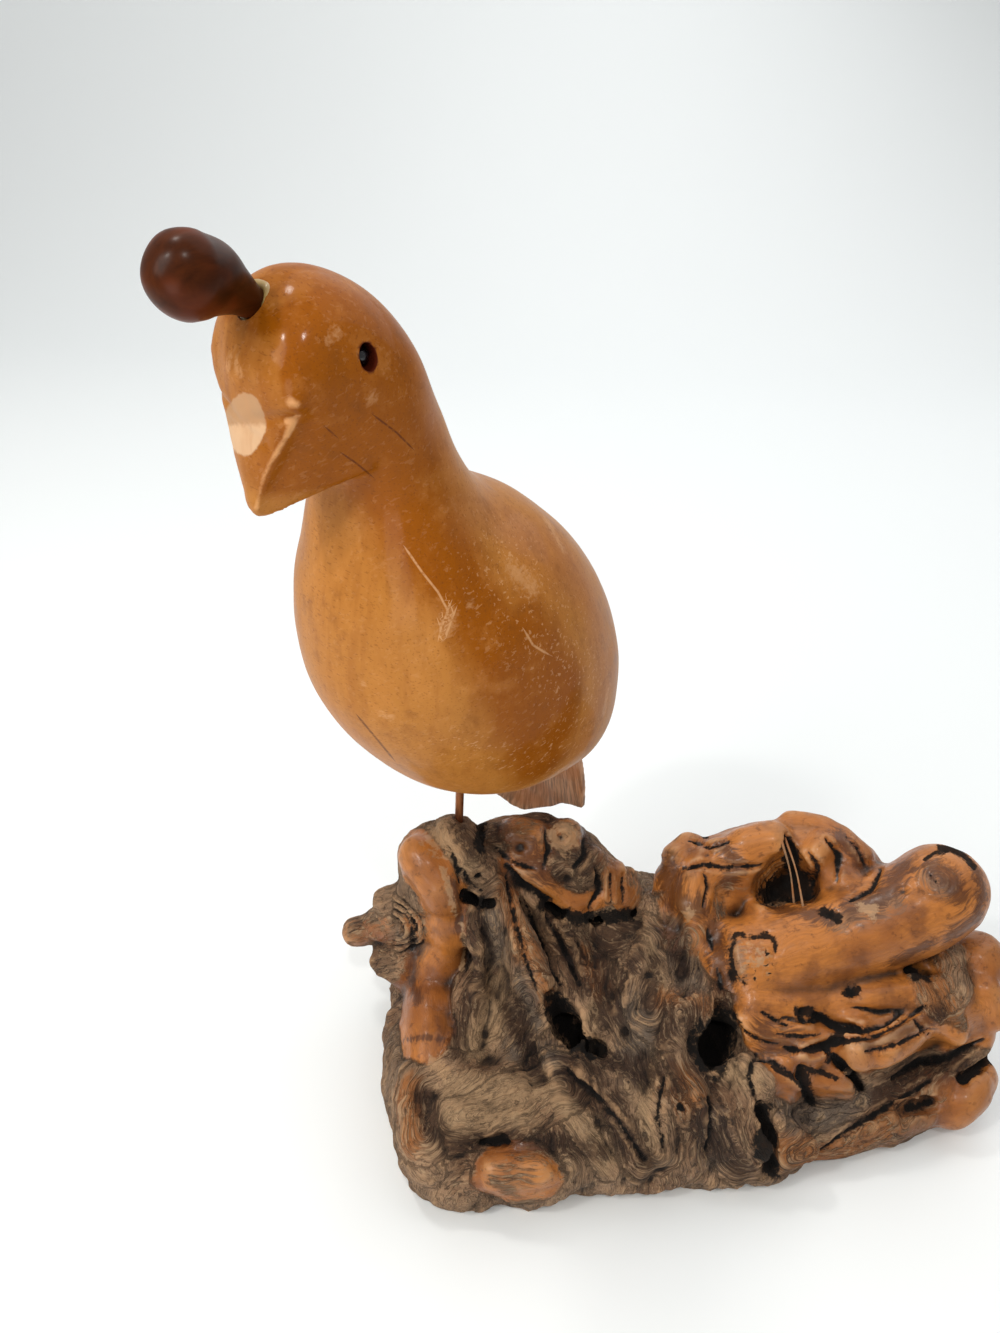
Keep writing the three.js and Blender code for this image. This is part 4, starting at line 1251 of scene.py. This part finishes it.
def carve_body(context):
    """The loft of the body and head with its bill and brow, given its relief and then its holes."""
    line = [[HEAD_POLE[0], 0, HEAD_POLE[1]]]
    line += [[s[2], -s[4], s[3]] for s in reversed(BODY_STOPS)]
    line += [[BODY_POLE[0], 0, BODY_POLE[1]]]
    line += [[s[0], s[4], s[1]] for s in BODY_STOPS]
    line += [[HEAD_POLE[0], 0, HEAD_POLE[1]]]

    def place(angle, run):
        back, belly = spline(line, 0.5 + 0.5 * run), spline(line, 0.5 - 0.5 * run)
        blend = 0.5 + 0.5 * np.cos(angle)
        taper = HEAD_TAPER * step(run, 0.6, 0.8) * (1 - blend)
        across = 0.5 * (back[:, 1] - belly[:, 1]) * np.sin(angle) * (1 - taper)
        forward = belly[:, 0] + (back[:, 0] - belly[:, 0]) * blend
        height = belly[:, 2] + (back[:, 2] - belly[:, 2]) * blend
        return bird_points(forward, height, across)

    brow = [bird_stop(stop) for stop in BROW_STOPS]
    masses = [shaped_sphere(128, 160, place), bill_wedge(), Limb(brow).mesh(foot_metres)]
    body = join(masses, "quail_carving")
    modify(body, "REMESH", mode="VOXEL", voxel_size=context.scene.quail_sizes.body_voxel)
    # The bill's edges stay sharp while the rest is smoothed.
    skin = Skin(body)
    ridge = spline(BILL_RIDGE, np.linspace(0.12, 1, 36))
    jaw = spline([CULMEN[-1], *BILL_JAW], np.linspace(0, 1, 24))
    keep = 0.05 + 0.95 * step(skin.away(flank_places([*ridge, *jaw])), 0.5, 3.6)
    for stop, reach in SOFTENED:
        keep = np.maximum(keep, bell(skin.away(bird_point(stop)), reach))
    skin.points = skin.smooth(skin.points, 36, keep)
    skin.write()
    # Gentle unevenness all over, then the relief cast from the picture.
    sight = Sight(body)
    rise = 0.28 * keep * layered(skin.points / 22, 5, 2)
    for mirrored, reach, height, pixels in BODY_RELIEF:
        places = sight.stroke(pixels)
        rise += height * bell(skin.away(both_sides(places) if mirrored else places), reach)
    skin.swell(rise)
    tail_slot = tail_plate(TAIL_PLAY, TAIL_SLOT_DEPTH)
    for cutter in (eye_drill(1), eye_drill(-1), crest_drill(), rod_drill(ROD_TOP), tail_slot):
        cut(body, cutter)
    paint_body(body)
    finish = carved_wood_finish(context.scene.quail_colours)
    finish_piece(body, "quail_body", finish, math.radians(50))


def bill_wedge():
    points = [bird_point(p) for p in CULMEN]
    pairs = BILL_RIDGE + BILL_JAW + BILL_TEMPLE + BILL_INSIDE
    points += [bird_point(p, side) for p in pairs for side in (1, -1)]
    wedge = from_points("bill", points, [])
    edit(wedge, (bpy.ops.mesh.convex_hull, {}))
    return wedge


def eye_drill(side):
    floor = Vector(bird_point([EYE_FORWARD, EYE_HEIGHT, EYE_ACROSS - EYE_DEPTH], side))
    outside = Vector(bird_point([EYE_FORWARD, EYE_HEIGHT, EYE_ACROSS + 9], side))
    drill = bar(floor, outside, EYE_HOLE_RADIUS * MM, 40)
    centre = Matrix.Translation(floor)
    narrowing = Matrix.Scale(EYE_HOLE_NARROWING, 4, Vector(FORWARD))
    drill.data.transform(centre @ narrowing @ centre.inverted())
    return drill


def crest_axis():
    root, neck = (Vector(bird_point(s)) for s in CREST_STOPS[:2])
    return root, (neck - root).normalized()


def crest_drill():
    root, along = crest_axis()
    return bar(root - along * SOCKET_DEPTH * MM, root + along * SOCKET_OUTSIDE * MM, SOCKET_RADIUS * MM, 48)


def rod_drill(above):
    """The rod's hole, from its lower end to a height above the foot."""
    low = FOOT - Vector((0, 0, (ROD_IN_BASE + ROD_END_PLAY) * MM))
    return bar(low, FOOT + Vector((0, 0, (above + ROD_END_PLAY) * MM)), (ROD_RADIUS + ROD_PLAY) * MM, 24)


def paint_body(body):
    """The masks that the carved wood's finish reads."""
    skin, sight = Skin(body), Sight(body)

    def marks(strokes, pace=6.0):
        fields = [skin.field(both_sides(sight.stroke(pixels, pace)), reach) for reach, pixels in strokes]
        return np.max(fields, axis=0)

    # Colour zones, with painted shade on the head's sides and a painted reflection on the rim, smudges and
    # scuffs.
    off = skin.points - np.array(FOOT) / MM
    head = step(off[:, 2], *HEAD_HEIGHTS) * step(off @ FORWARD, *HEAD_FORWARD)
    # Painted shade: the head is browner where it faces sideways.
    sideways_shade = step(np.abs(skin.normals() @ LEFT), *SIDEWAYS_SHADE_SLOPES)
    skin.paint("brown", np.maximum(marks(BROWN_WOOD), head * (0.45 + 0.5 * sideways_shade)))
    # A pinkish painted reflection along the right rim.
    skin.paint("rim_sheen", marks(PAINTED_RIM_SHEEN))
    skin.paint("smudge", marks(SMUDGES, 3.0))
    skin.paint("scuffed", np.clip(0.22 + marks(FLANK_SCUFFS), 0, 1))
    # A pale line on the bill's ridges, partly worn wood and partly a painted highlight, and painted
    # highlights behind the bill.
    ridge = skin.field(flank_places(spline(BILL_RIDGE, np.linspace(0.06, 1, 60))), 0.6)
    skin.paint("edge", np.maximum(ridge, marks(BILL_HIGHLIGHTS, 2.0)))
    # Fine lines and the bare patch, as the camera sees them.
    across, down = sight.pixels(skin.points * MM)
    for name, lines in (("scratch", SCRATCHES), ("crack", DARK_GRAIN)):
        near = skin.away(np.vstack([sight.stroke(pixels) for pixels in lines])) < 4
        skin.paint(name, np.stack([*line_offsets(across, down, lines), near], -1))
    (x, y), (wide, high) = WORN_PATCH
    out = np.hypot((across - x) / wide, (down - y) / high)
    near = skin.away([sight.spot(x, y)]) < 12
    skin.paint("worn", np.where(near, np.clip(1 - 0.5 * out, 0, 1), 0))
    # Painted light: the bare patch is lighter below the crease.
    skin.paint("patch_lit_below_crease", step(down, y - 1, y + 2))
    # The dark walls of the eye holes.
    hole = np.zeros(len(skin.points))
    for side in (1, -1):
        off = skin.points - bird_point([EYE_FORWARD, EYE_HEIGHT, 0], side) / MM
        radial = np.hypot(off @ FORWARD / EYE_HOLE_NARROWING, off[:, 2])
        inside = (radial < EYE_HOLE_RADIUS + 0.1) & (side * (off @ LEFT) > EYE_ACROSS - EYE_DEPTH - 1)
        hole = np.maximum(hole, inside)
    skin.paint("hole", hole)


def line_offsets(across, down, lines):
    """How far each pixel lies beside the nearest line, and past its ends."""
    nearest = np.full(len(across), np.inf)
    out = np.zeros((2, len(across)))
    for pixels in lines:
        for number, ((x0, y0), (x1, y1)) in enumerate(zip(pixels, pixels[1:])):
            run = math.hypot(x1 - x0, y1 - y0)
            along = ((across - x0) * (x1 - x0) + (down - y0) * (y1 - y0)) / run
            beside = ((across - x0) * (y1 - y0) - (down - y0) * (x1 - x0)) / run
            before = -along if number == 0 else np.full(len(across), -9.0)
            past = np.maximum(before, along - run) if number == len(pixels) - 2 else before
            gap = np.hypot(beside, np.maximum(0, np.maximum(-along, along - run)))
            mine = gap < nearest
            nearest[mine] = gap[mine]
            out[:, mine] = beside[mine], past[mine]
    return out


def carve_topknot(context):
    limb = Limb([bird_stop(stop) for stop in CREST_STOPS])
    knot = named(limb.mesh(foot_metres, 72, 56), "topknot_carving")
    face_out(knot)
    roughen(knot, FOOT, 0.3, 7, 31)
    finish_piece(knot, "topknot", dark_wood_finish(context.scene.quail_colours))
    root, along = crest_axis()
    bead = primitive(
        "torus", major_segments=64, minor_segments=16, major_radius=GLUE_RADIUS * MM,
        minor_radius=GLUE_THICKNESS * MM, location=root + along * GLUE_LIFT * MM,
        rotation=along.to_track_quat("Z", "Y").to_euler())
    roughen(named(bead, "topknot_glue"), FOOT, 0.35, 2.6, 37)
    finish_piece(bead, None, glue_finish())


def tail_turn():
    lie = Matrix.Rotation(math.pi - TAIL_LEAN, 4, "X")
    place = Matrix.Translation((0, -TAIL_FORWARD * MM, TAIL_HEIGHT * MM))
    bird = Matrix.Translation(FOOT) @ Matrix.Rotation(FACING, 4, "Z")
    return bird @ place @ Matrix.Rotation(TAIL_TURN, 4, "Z") @ lie


def tail_plate(play, above):
    """The fan as a closed plate, wider by the play and carried on above its upper end."""
    rim = []
    for down, across in TAIL_OUTLINE:
        lower = down if down else -above
        rim.append(((across + math.copysign(play, across)) * MM, -lower * MM, 0))
    plate = from_points("tail", rim, [list(range(len(rim)))])
    thickness = bpy.context.scene.quail_sizes.tail_thickness + 2 * play * MM
    modify(plate, "SOLIDIFY", thickness=thickness, offset=0)
    plate.data.transform(tail_turn())
    face_out(plate)
    return plate


def carve_tail(context):
    """The fan, thinner and cupped toward its end, with fine ribs."""
    fan = named(tail_plate(0, 0), "tail_carving")
    modify(fan, "REMESH", mode="VOXEL", voxel_size=context.scene.quail_sizes.tail_voxel)
    skin = Skin(fan)
    into = np.array(tail_turn().inverted())
    local = (np.c_[skin.points * MM, np.ones(len(skin.points))] @ into.T)[:, :3] / MM
    across, down, thick = local[:, 0], -local[:, 1], local[:, 2]
    skin.points = skin.smooth(skin.points, 4)
    low = step(down, 28, 58)
    out = np.array(tail_turn().to_3x3()) @ np.array([0, 0, 1.0])
    skin.points += np.outer(0.0105 * across**2 * low - thick * 0.45 * low, out)
    fan_angle = np.arctan2(across, down + TAIL_HUB)
    skin.swell(0.05 * np.sin(fan_angle * TAIL_RIBS) * step(down, 12, 30))
    skin.paint("fan", np.stack([fan_angle * 90, down * 0.1, thick * 0.5], -1))
    finish_piece(fan, "tail", tail_wood_finish(context.scene.quail_colours))


def set_eyes(context):
    radius = context.scene.quail_sizes.eye_radius
    material = eye_glass_finish()
    for side, node in ((1, "left_eye"), (-1, "right_eye")):
        low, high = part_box(node)
        middle = (low + high) / 2
        bead = primitive("uv_sphere", segments=40, ring_count=28, radius=radius, location=middle)
        skin = Skin(bead, middle)
        skin.points *= 1 + 0.02 * noise(skin.points / 2.0, 41 + side)[:, None]
        skin.write()
        finish_piece(named(bead, node + "_bead"), node, material)


def draw_leg(context):
    middle = ROD_LOW.lerp(ROD_HIGH, 0.5)
    low, high = (Vector((middle.x, middle.y, end.z)) for end in (ROD_LOW, ROD_HIGH))
    leg = named(bar(low, high, ROD_RADIUS * MM, 40), "leg_wire")
    modify(leg, "BEVEL", width=0.25 * MM, segments=2, limit_method="ANGLE")
    edit(leg, (bpy.ops.mesh.subdivide, {"number_cuts": 5, "quadcorner": "INNERVERT"}))
    finish_piece(leg, "leg_rod", leg_wire_finish(), math.radians(40))


def grow_burl(context):
    """Masses, then roots, then holes, each joined to the last and meshed anew more finely."""
    voxel = context.scene.quail_sizes.burl_voxel
    growths = [(polish, fibres, Limb(stops)) for polish, fibres, stops in BURL_GROWTHS]
    masses = [limb.mesh(burl_metres) for _, _, limb in growths]
    burl = fuse(masses + [burl_lump(*lump) for lump in BURL_LUMPS], 1.3 * voxel, 4)
    sight = Sight(burl)
    roots = [(polish, "along", cast_limb(sight, stops)) for polish, stops in ROOTS]
    burl = fuse([burl] + [limb.mesh(burl_metres, 24, 18) for _, _, limb in roots], 1.1 * voxel, 3)
    growths += roots
    form_burl(burl, growths)
    sight = Sight(burl)
    for gouge in GOUGES:
        cut(burl, gouge_cutter(sight, gouge))
    cut(burl, table_block())
    modify(burl, "REMESH", mode="VOXEL", voxel_size=voxel)
    shape_burl(burl, growths)
    cut(burl, rod_drill(20))
    sight = Sight(burl)
    burl = join([burl] + [splinter(sight, ends) for ends in SPLINTERS], "burl_carving")
    finish_piece(burl, "burl_base", root_wood_finish(context.scene.quail_colours))


def fuse(masses, voxel, rounds):
    """One closed skin round all the masses, smoothed."""
    burl = join(masses, "burl_carving")
    modify(burl, "REMESH", mode="VOXEL", voxel_size=voxel)
    modify(burl, "SMOOTH", factor=0.5, iterations=rounds)
    return burl


def splinter(sight, ends):
    """A thin sliver between the places behind two pixels."""
    a, b = ((np.array(sight.spot(*end)) - BURL_ORIGIN) / MM for end in ends)
    middle = 0.5 * (a + b) + [0.5, 0, 0.6]
    sliver = Limb([[*a, 0.4], [*middle, 0.24], [*b, 0.36]]).mesh(burl_metres, 12, 16)
    Skin(sliver).paint("polish", np.full(len(sliver.data.vertices), 0.45))
    return sliver


def cast_limb(sight, stops):
    """A limb along pixels, each stop a radius and a depth behind the surface."""
    path = []
    for x, y, radius, depth in stops:
        place = sight.spot(x, y)
        deep = place + (place - sight.eye).normalized() * depth * MM
        path.append([*((np.array(deep) - BURL_ORIGIN) / MM), radius])
    return Limb(path)


def strands(grain, along, across, seed):
    """Ridges that run with the grain, 1 on their crests."""
    return 1 - 2 * np.abs(noise(grain * [along, across, across], seed))


def form_burl(burl, growths):
    """The valleys of the front and the lumps all over, before the holes are cut."""
    skin, sight = Skin(burl, BURL_ORIGIN), Sight(burl)
    rise = np.zeros(len(skin.points))
    for reach, height, pixels in VALLEYS:
        rise += height * bell(skin.away(sight.stroke(pixels)), reach)
    polish, grain = follow_limbs(skin, growths)
    dry = 1 - 0.85 * skin.smooth(polish, 10)
    lumps = np.abs(layered(skin.points / 11, 2, 2))
    rise += dry * (2.0 * (lumps - 0.3) + 1.3 * strands(grain, 0.03, 0.12, 6))
    skin.swell(np.clip(rise, -6, 5))


def gouge_cutter(sight, stops):
    cutter = cast_limb(sight, stops).mesh(burl_metres, 24, 20)
    roughen(cutter, BURL_ORIGIN, 0.9, 3.2, 91)
    return cutter


def burl_lump(x, y, z, *radii):
    return primitive("uv_sphere", segments=32, ring_count=20, radius=1, location=burl_metres([x, y, z]),
                     scale=[r * MM for r in radii])


def table_block():
    """A slab under the table's top, which cuts the burl's flat underside."""
    return primitive("cube", size=1, location=(0, 0, -0.05), scale=(0.6, 0.6, 0.1))


def shape_burl(burl, growths):
    """Fibres, lumps, pits, cracks and wrinkles, and the masks that the finish reads."""
    skin = Skin(burl, BURL_ORIGIN)
    table = skin.points[:, 2] < 0.35
    skin.points = skin.smooth(skin.points, 3, ~table)
    skin.write()
    polish, grain = follow_limbs(skin, growths)
    sight = Sight(burl)
    grain = follow_flows(skin, sight, grain, polish)
    polish = skin.smooth(polish, 6)
    # Lumps, then the rings of wrinkles, then fibres along the grain.
    dry = 1 - np.clip(polish, 0, 1)
    height = dry * 0.45 * layered(skin.points / 7, 3)
    height += (0.15 + 0.3 * dry) * (np.abs(noise(skin.points / 5, 11)) - 0.35)
    across, down = sight.pixels(skin.points * MM + BURL_ORIGIN)
    for ring in WRINKLES:
        waves, inside, rings = wrinkle(skin, sight, across, *ring)
        height += waves
        grain = np.where((inside > 0.5)[:, None], rings, grain)
    warp = np.stack([noise(skin.points / 13, 50 + i) for i in range(3)], -1)
    fine_warp = np.stack([noise(skin.points / 5, 53 + i) for i in range(3)], -1)
    grain = grain + 2.2 * warp + 0.8 * fine_warp
    height += (0.05 + 0.55 * dry) * strands(grain, 0.03, 0.2, 7)
    height += (0.03 + 0.34 * dry) * strands(grain, 0.08, 0.42, 8)

    def marks(strokes):
        return np.max([skin.field(sight.stroke(pixels, 4.0), reach) for reach, pixels in strokes], axis=0)

    # Painted marks, pits, cracks and the old bark.
    # The black mask: painted shade in holes, pits and cracks, and the old bark.
    black, pale = marks(BLACK_SHADE), marks(PALE_SPOTS_AND_HIGHLIGHTS)
    for half, pixels in HOLLOWS:
        black = np.maximum(black, seen_line(skin, sight, across, down, half, pixels))
    for name, strokes in ROOT_TINTS.items():
        skin.paint(name, marks(strokes))
    for reach, rise, pixels in PITS:
        height += rise * bell(skin.away(sight.stroke(pixels, 2.0)), reach)
    for reach, rise, pixels in CRACKS:
        slit = skin.slit(sight.stroke(pixels, 2.0), reach)
        height += rise * step(slit, 0.1, 0.9)
        # Cracks are painted black, as shade inside them.
        black = np.maximum(black, 0.8 * slit)
    out, rim = bark_edge(skin, sight, across, down)
    height += -0.7 * rim + 0.5 * (out < 0.8) * noise(skin.points / 1.9, 72)
    specks = step(noise(skin.points / 1.5, 73), 0.2, 0.5)
    black = np.maximum(black, np.maximum(0.75 * rim, 0.6 * (out < 0.85) * specks))
    pale = np.maximum(pale, 0.38 * (out < 0.8))
    skin.swell(height * ~table)
    skin.points = skin.smooth(skin.points, 1, 0.5 * ~table)
    skin.points[:, 2] = np.where(table | (skin.points[:, 2] < 0.2), 0, skin.points[:, 2])
    skin.write()
    skin.paint("polish", np.clip(polish, 0, 1))
    skin.paint("black", black)
    skin.paint("pale", pale)
    # Hollowness, which the finish turns into painted shade in hollows and painted light on ridges.
    skin.paint("cavity", np.clip(skin.hollow(4), -1, 1))
    skin.paint("valley", np.clip(skin.hollow(45) / 2.2, -1, 1))
    skin.paint("grain", grain)


def wrinkle(skin, sight, across, pixel, inner, outer, spacing, rise, half):
    """A ring of wrinkles: its waves, where it lies, and the grain's directions round its centre."""
    centre = sight.spot(*pixel)
    away = skin.away([centre]) + 0.5 * noise(skin.points / 5, 61)
    inside = step(away, inner - 1, inner) * step(-away, -outer, -outer + 2)
    if half:
        inside *= step(half * (across - pixel[0]), -6, 6)
    off = skin.points - (np.array(centre) - skin.origin) / MM
    rings = np.stack([np.arctan2(off[:, 0], off[:, 2]) * away, away, np.full(len(away), spacing)], -1)
    return rise * inside * np.cos(2 * math.pi * away / spacing), inside, rings


def seen_line(skin, sight, across, down, half, pixels):
    """1 on a line as the camera sees it, and 0 at twice its half width, on the front only."""
    line = np.array([np.linspace(a, b, 12) for a, b in zip(pixels, pixels[1:])]).reshape(-1, 2)
    off = np.min([np.hypot(across - x, down - y) for x, y in line], axis=0)
    front = skin.away(sight.stroke(pixels)) < 24
    return front * np.clip(1 - 0.5 * off / half, 0, 1)


def bark_edge(skin, sight, across, down):
    """How far out each point lies on the old bark, where 1 is its edge, and the groove round it."""
    (x, y), (wide, high) = BARK_PATCH
    right, low = (across - x) / wide, (down - y) / high
    out = (right**4 + low**4) ** 0.25 + 0.12 * noise(skin.points / 3.5, 71)
    out = np.where(skin.away([sight.spot(x, y)]) < 14, out, 9.0)
    return out, bell(out - 0.9, 0.2) * step(-(right + low), -1.1, -0.5)


def follow_flows(skin, sight, grain, polish):
    """Near a flow on a dry growth, the grain runs along it and across it."""
    nearest = np.full(len(skin.points), FLOW_REACH)
    nearest[polish > 0.8] = 0
    grain = grain.copy()
    for number, pixels in enumerate(FLOWS):
        line = (sight.stroke(pixels, 6.0) - skin.origin) / MM
        reach = np.concatenate([[0], np.cumsum(np.linalg.norm(np.diff(line, axis=0), axis=1))])
        for place, along in zip(line, reach):
            away = np.linalg.norm(skin.points - place, axis=1)
            mine = away < nearest
            nearest[mine] = away[mine]
            own = [np.full(mine.sum(), along), away[mine], np.full(mine.sum(), FLOW_SPACING * number)]
            grain[mine] = np.stack(own, -1)
    return grain


def follow_limbs(skin, growths):
    """The polish of the nearest limb at each point, and the point's place in that limb's directions."""
    count = len(skin.points)
    nearest = np.full(count, np.inf)
    polish = np.zeros(count)
    grain = np.zeros((count, 3))
    for shine, fibres, limb in growths:
        gap = np.full(count, np.inf)
        close = np.zeros(count, int)
        for k in range(0, limb.SAMPLES, 2):
            d = np.linalg.norm(skin.points - limb.centre[k], axis=1) - limb.radius[k]
            better = d < gap
            gap = np.where(better, d, gap)
            close = np.where(better, k, close)
        mine = gap < nearest
        nearest = np.where(mine, gap, nearest)
        off = skin.points - limb.centre[close]
        along = limb.reach[close] + np.sum(off * limb.tangent[close], axis=1)
        a = np.sum(off * limb.side[close], axis=1)
        b = np.sum(off * limb.up[close], axis=1)
        if fibres == "round":
            own = np.stack([np.arctan2(a, b) * limb.radius[close], along, np.hypot(a, b)], -1)
        else:
            own = np.stack([along, a, b], -1)
        polish[mine] = shine
        grain[mine] = own[mine]
    return polish, grain


# Stage


def set_stage(context):
    floor = named(primitive("plane", size=FLOOR_SIZE), "stage_floor")
    bpy.ops.object.mode_set(mode="EDIT")
    bpy.ops.mesh.select_mode(type="EDGE")
    bpy.ops.mesh.select_all(action="DESELECT")
    bpy.ops.object.mode_set(mode="OBJECT")
    for edge in floor.data.edges:
        edge.select = all(floor.data.vertices[v].co.y > 0 for v in edge.vertices)
    bpy.ops.object.mode_set(mode="EDIT")
    bpy.ops.mesh.extrude_region_move(TRANSFORM_OT_translate={"value": (0, 0, WALL_HEIGHT)})
    bpy.ops.object.mode_set(mode="OBJECT")
    modify(floor, "BEVEL", width=WALL_CURVE, segments=24, limit_method="ANGLE", affect="EDGES")
    floor.data.materials.append(stage_finish(context.scene.quail_colours))
    choose(floor)
    bpy.ops.object.shade_smooth()

    world = bpy.data.worlds.new("studio")
    world.use_nodes = True
    background = world.node_tree.nodes["Background"].inputs
    background["Color"].default_value = (1.0, 0.99, 0.98, 1)
    background["Strength"].default_value = 0.4
    context.scene.world = world
    for light in LIGHTS:
        soft_light(*light)
    context.scene.view_settings.view_transform = "Standard"

    stage = context.scene.quail_stage
    camera = bpy.data.cameras.new("camera")
    camera.sensor_width = 36.0
    camera.lens = stage.focal / Sight.HEIGHT * camera.sensor_width
    camera.clip_start = 0.01
    holder = bpy.data.objects.new("camera", camera)
    holder.matrix_world = Matrix.Translation(FOOT + Vector(stage.offset)) @ camera_turn(stage).to_4x4()
    context.scene.collection.objects.link(holder)
    context.scene.camera = holder


def soft_light(name, offset, size, power, colour):
    """A square light that faces the carving."""
    light = bpy.data.lights.new(name, "AREA")
    light.shape = "SQUARE"
    light.size, light.energy, light.color = size, power, colour
    holder = bpy.data.objects.new(name, light)
    holder.location = FOOT + Vector(offset)
    holder.rotation_euler = (-Vector(offset)).to_track_quat("-Z", "Y").to_euler()
    bpy.context.scene.collection.objects.link(holder)


# Operators


class QUAIL_OT_body(bpy.types.Operator):
    """Carve the body, neck, head and bill"""

    bl_idname, bl_label = "quail.body", "Carve the Body"

    def execute(self, context):
        carve_body(context)
        return {"FINISHED"}


class QUAIL_OT_topknot(bpy.types.Operator):
    """Carve the topknot and lay the glue round its root"""

    bl_idname, bl_label = "quail.topknot", "Carve the Topknot"

    def execute(self, context):
        carve_topknot(context)
        return {"FINISHED"}


class QUAIL_OT_tail(bpy.types.Operator):
    """Carve the tail fan"""

    bl_idname, bl_label = "quail.tail", "Carve the Tail"

    def execute(self, context):
        carve_tail(context)
        return {"FINISHED"}


class QUAIL_OT_eyes(bpy.types.Operator):
    """Set a glass bead in each eye hole"""

    bl_idname, bl_label = "quail.eyes", "Set the Eyes"

    def execute(self, context):
        set_eyes(context)
        return {"FINISHED"}


class QUAIL_OT_leg(bpy.types.Operator):
    """Draw the wire leg"""

    bl_idname, bl_label = "quail.leg", "Draw the Leg"

    def execute(self, context):
        draw_leg(context)
        return {"FINISHED"}


class QUAIL_OT_burl(bpy.types.Operator):
    """Grow the root burl"""

    bl_idname, bl_label = "quail.burl", "Grow the Burl"

    def execute(self, context):
        grow_burl(context)
        return {"FINISHED"}


class QUAIL_OT_stage(bpy.types.Operator):
    """Set the floor, the light and the camera"""

    bl_idname, bl_label = "quail.stage", "Set the Stage"

    def execute(self, context):
        set_stage(context)
        return {"FINISHED"}


OPERATORS = (QUAIL_OT_stage, QUAIL_OT_body, QUAIL_OT_topknot, QUAIL_OT_tail, QUAIL_OT_eyes, QUAIL_OT_leg,
             QUAIL_OT_burl)


class QUAIL_PT_panel(bpy.types.Panel):
    """Lists the pieces of the carving"""

    bl_label = "Carved Quail"
    bl_idname = "QUAIL_PT_panel"
    bl_space_type, bl_region_type, bl_category = "VIEW_3D", "UI", "Quail"

    def draw(self, context):
        for operator in OPERATORS:
            self.layout.operator(operator.bl_idname)
        for group in (context.scene.quail_sizes, context.scene.quail_colours, context.scene.quail_stage):
            for name in group.__annotations__:
                self.layout.prop(group, name)


CLASSES = (QuailSizes, QuailColours, QuailStage, *OPERATORS, QUAIL_PT_panel)


def register():
    for cls in CLASSES:
        bpy.utils.register_class(cls)
    bpy.types.Scene.quail_sizes = bpy.props.PointerProperty(type=QuailSizes)
    bpy.types.Scene.quail_colours = bpy.props.PointerProperty(type=QuailColours)
    bpy.types.Scene.quail_stage = bpy.props.PointerProperty(type=QuailStage)


def unregister():
    del bpy.types.Scene.quail_sizes, bpy.types.Scene.quail_colours, bpy.types.Scene.quail_stage
    for cls in reversed(CLASSES):
        bpy.utils.unregister_class(cls)


def main():
    register()
    bpy.ops.quail.stage()
    bpy.ops.quail.body()
    bpy.ops.quail.topknot()
    bpy.ops.quail.tail()
    bpy.ops.quail.eyes()
    bpy.ops.quail.leg()
    bpy.ops.quail.burl()


if __name__ == "__main__":
    main()
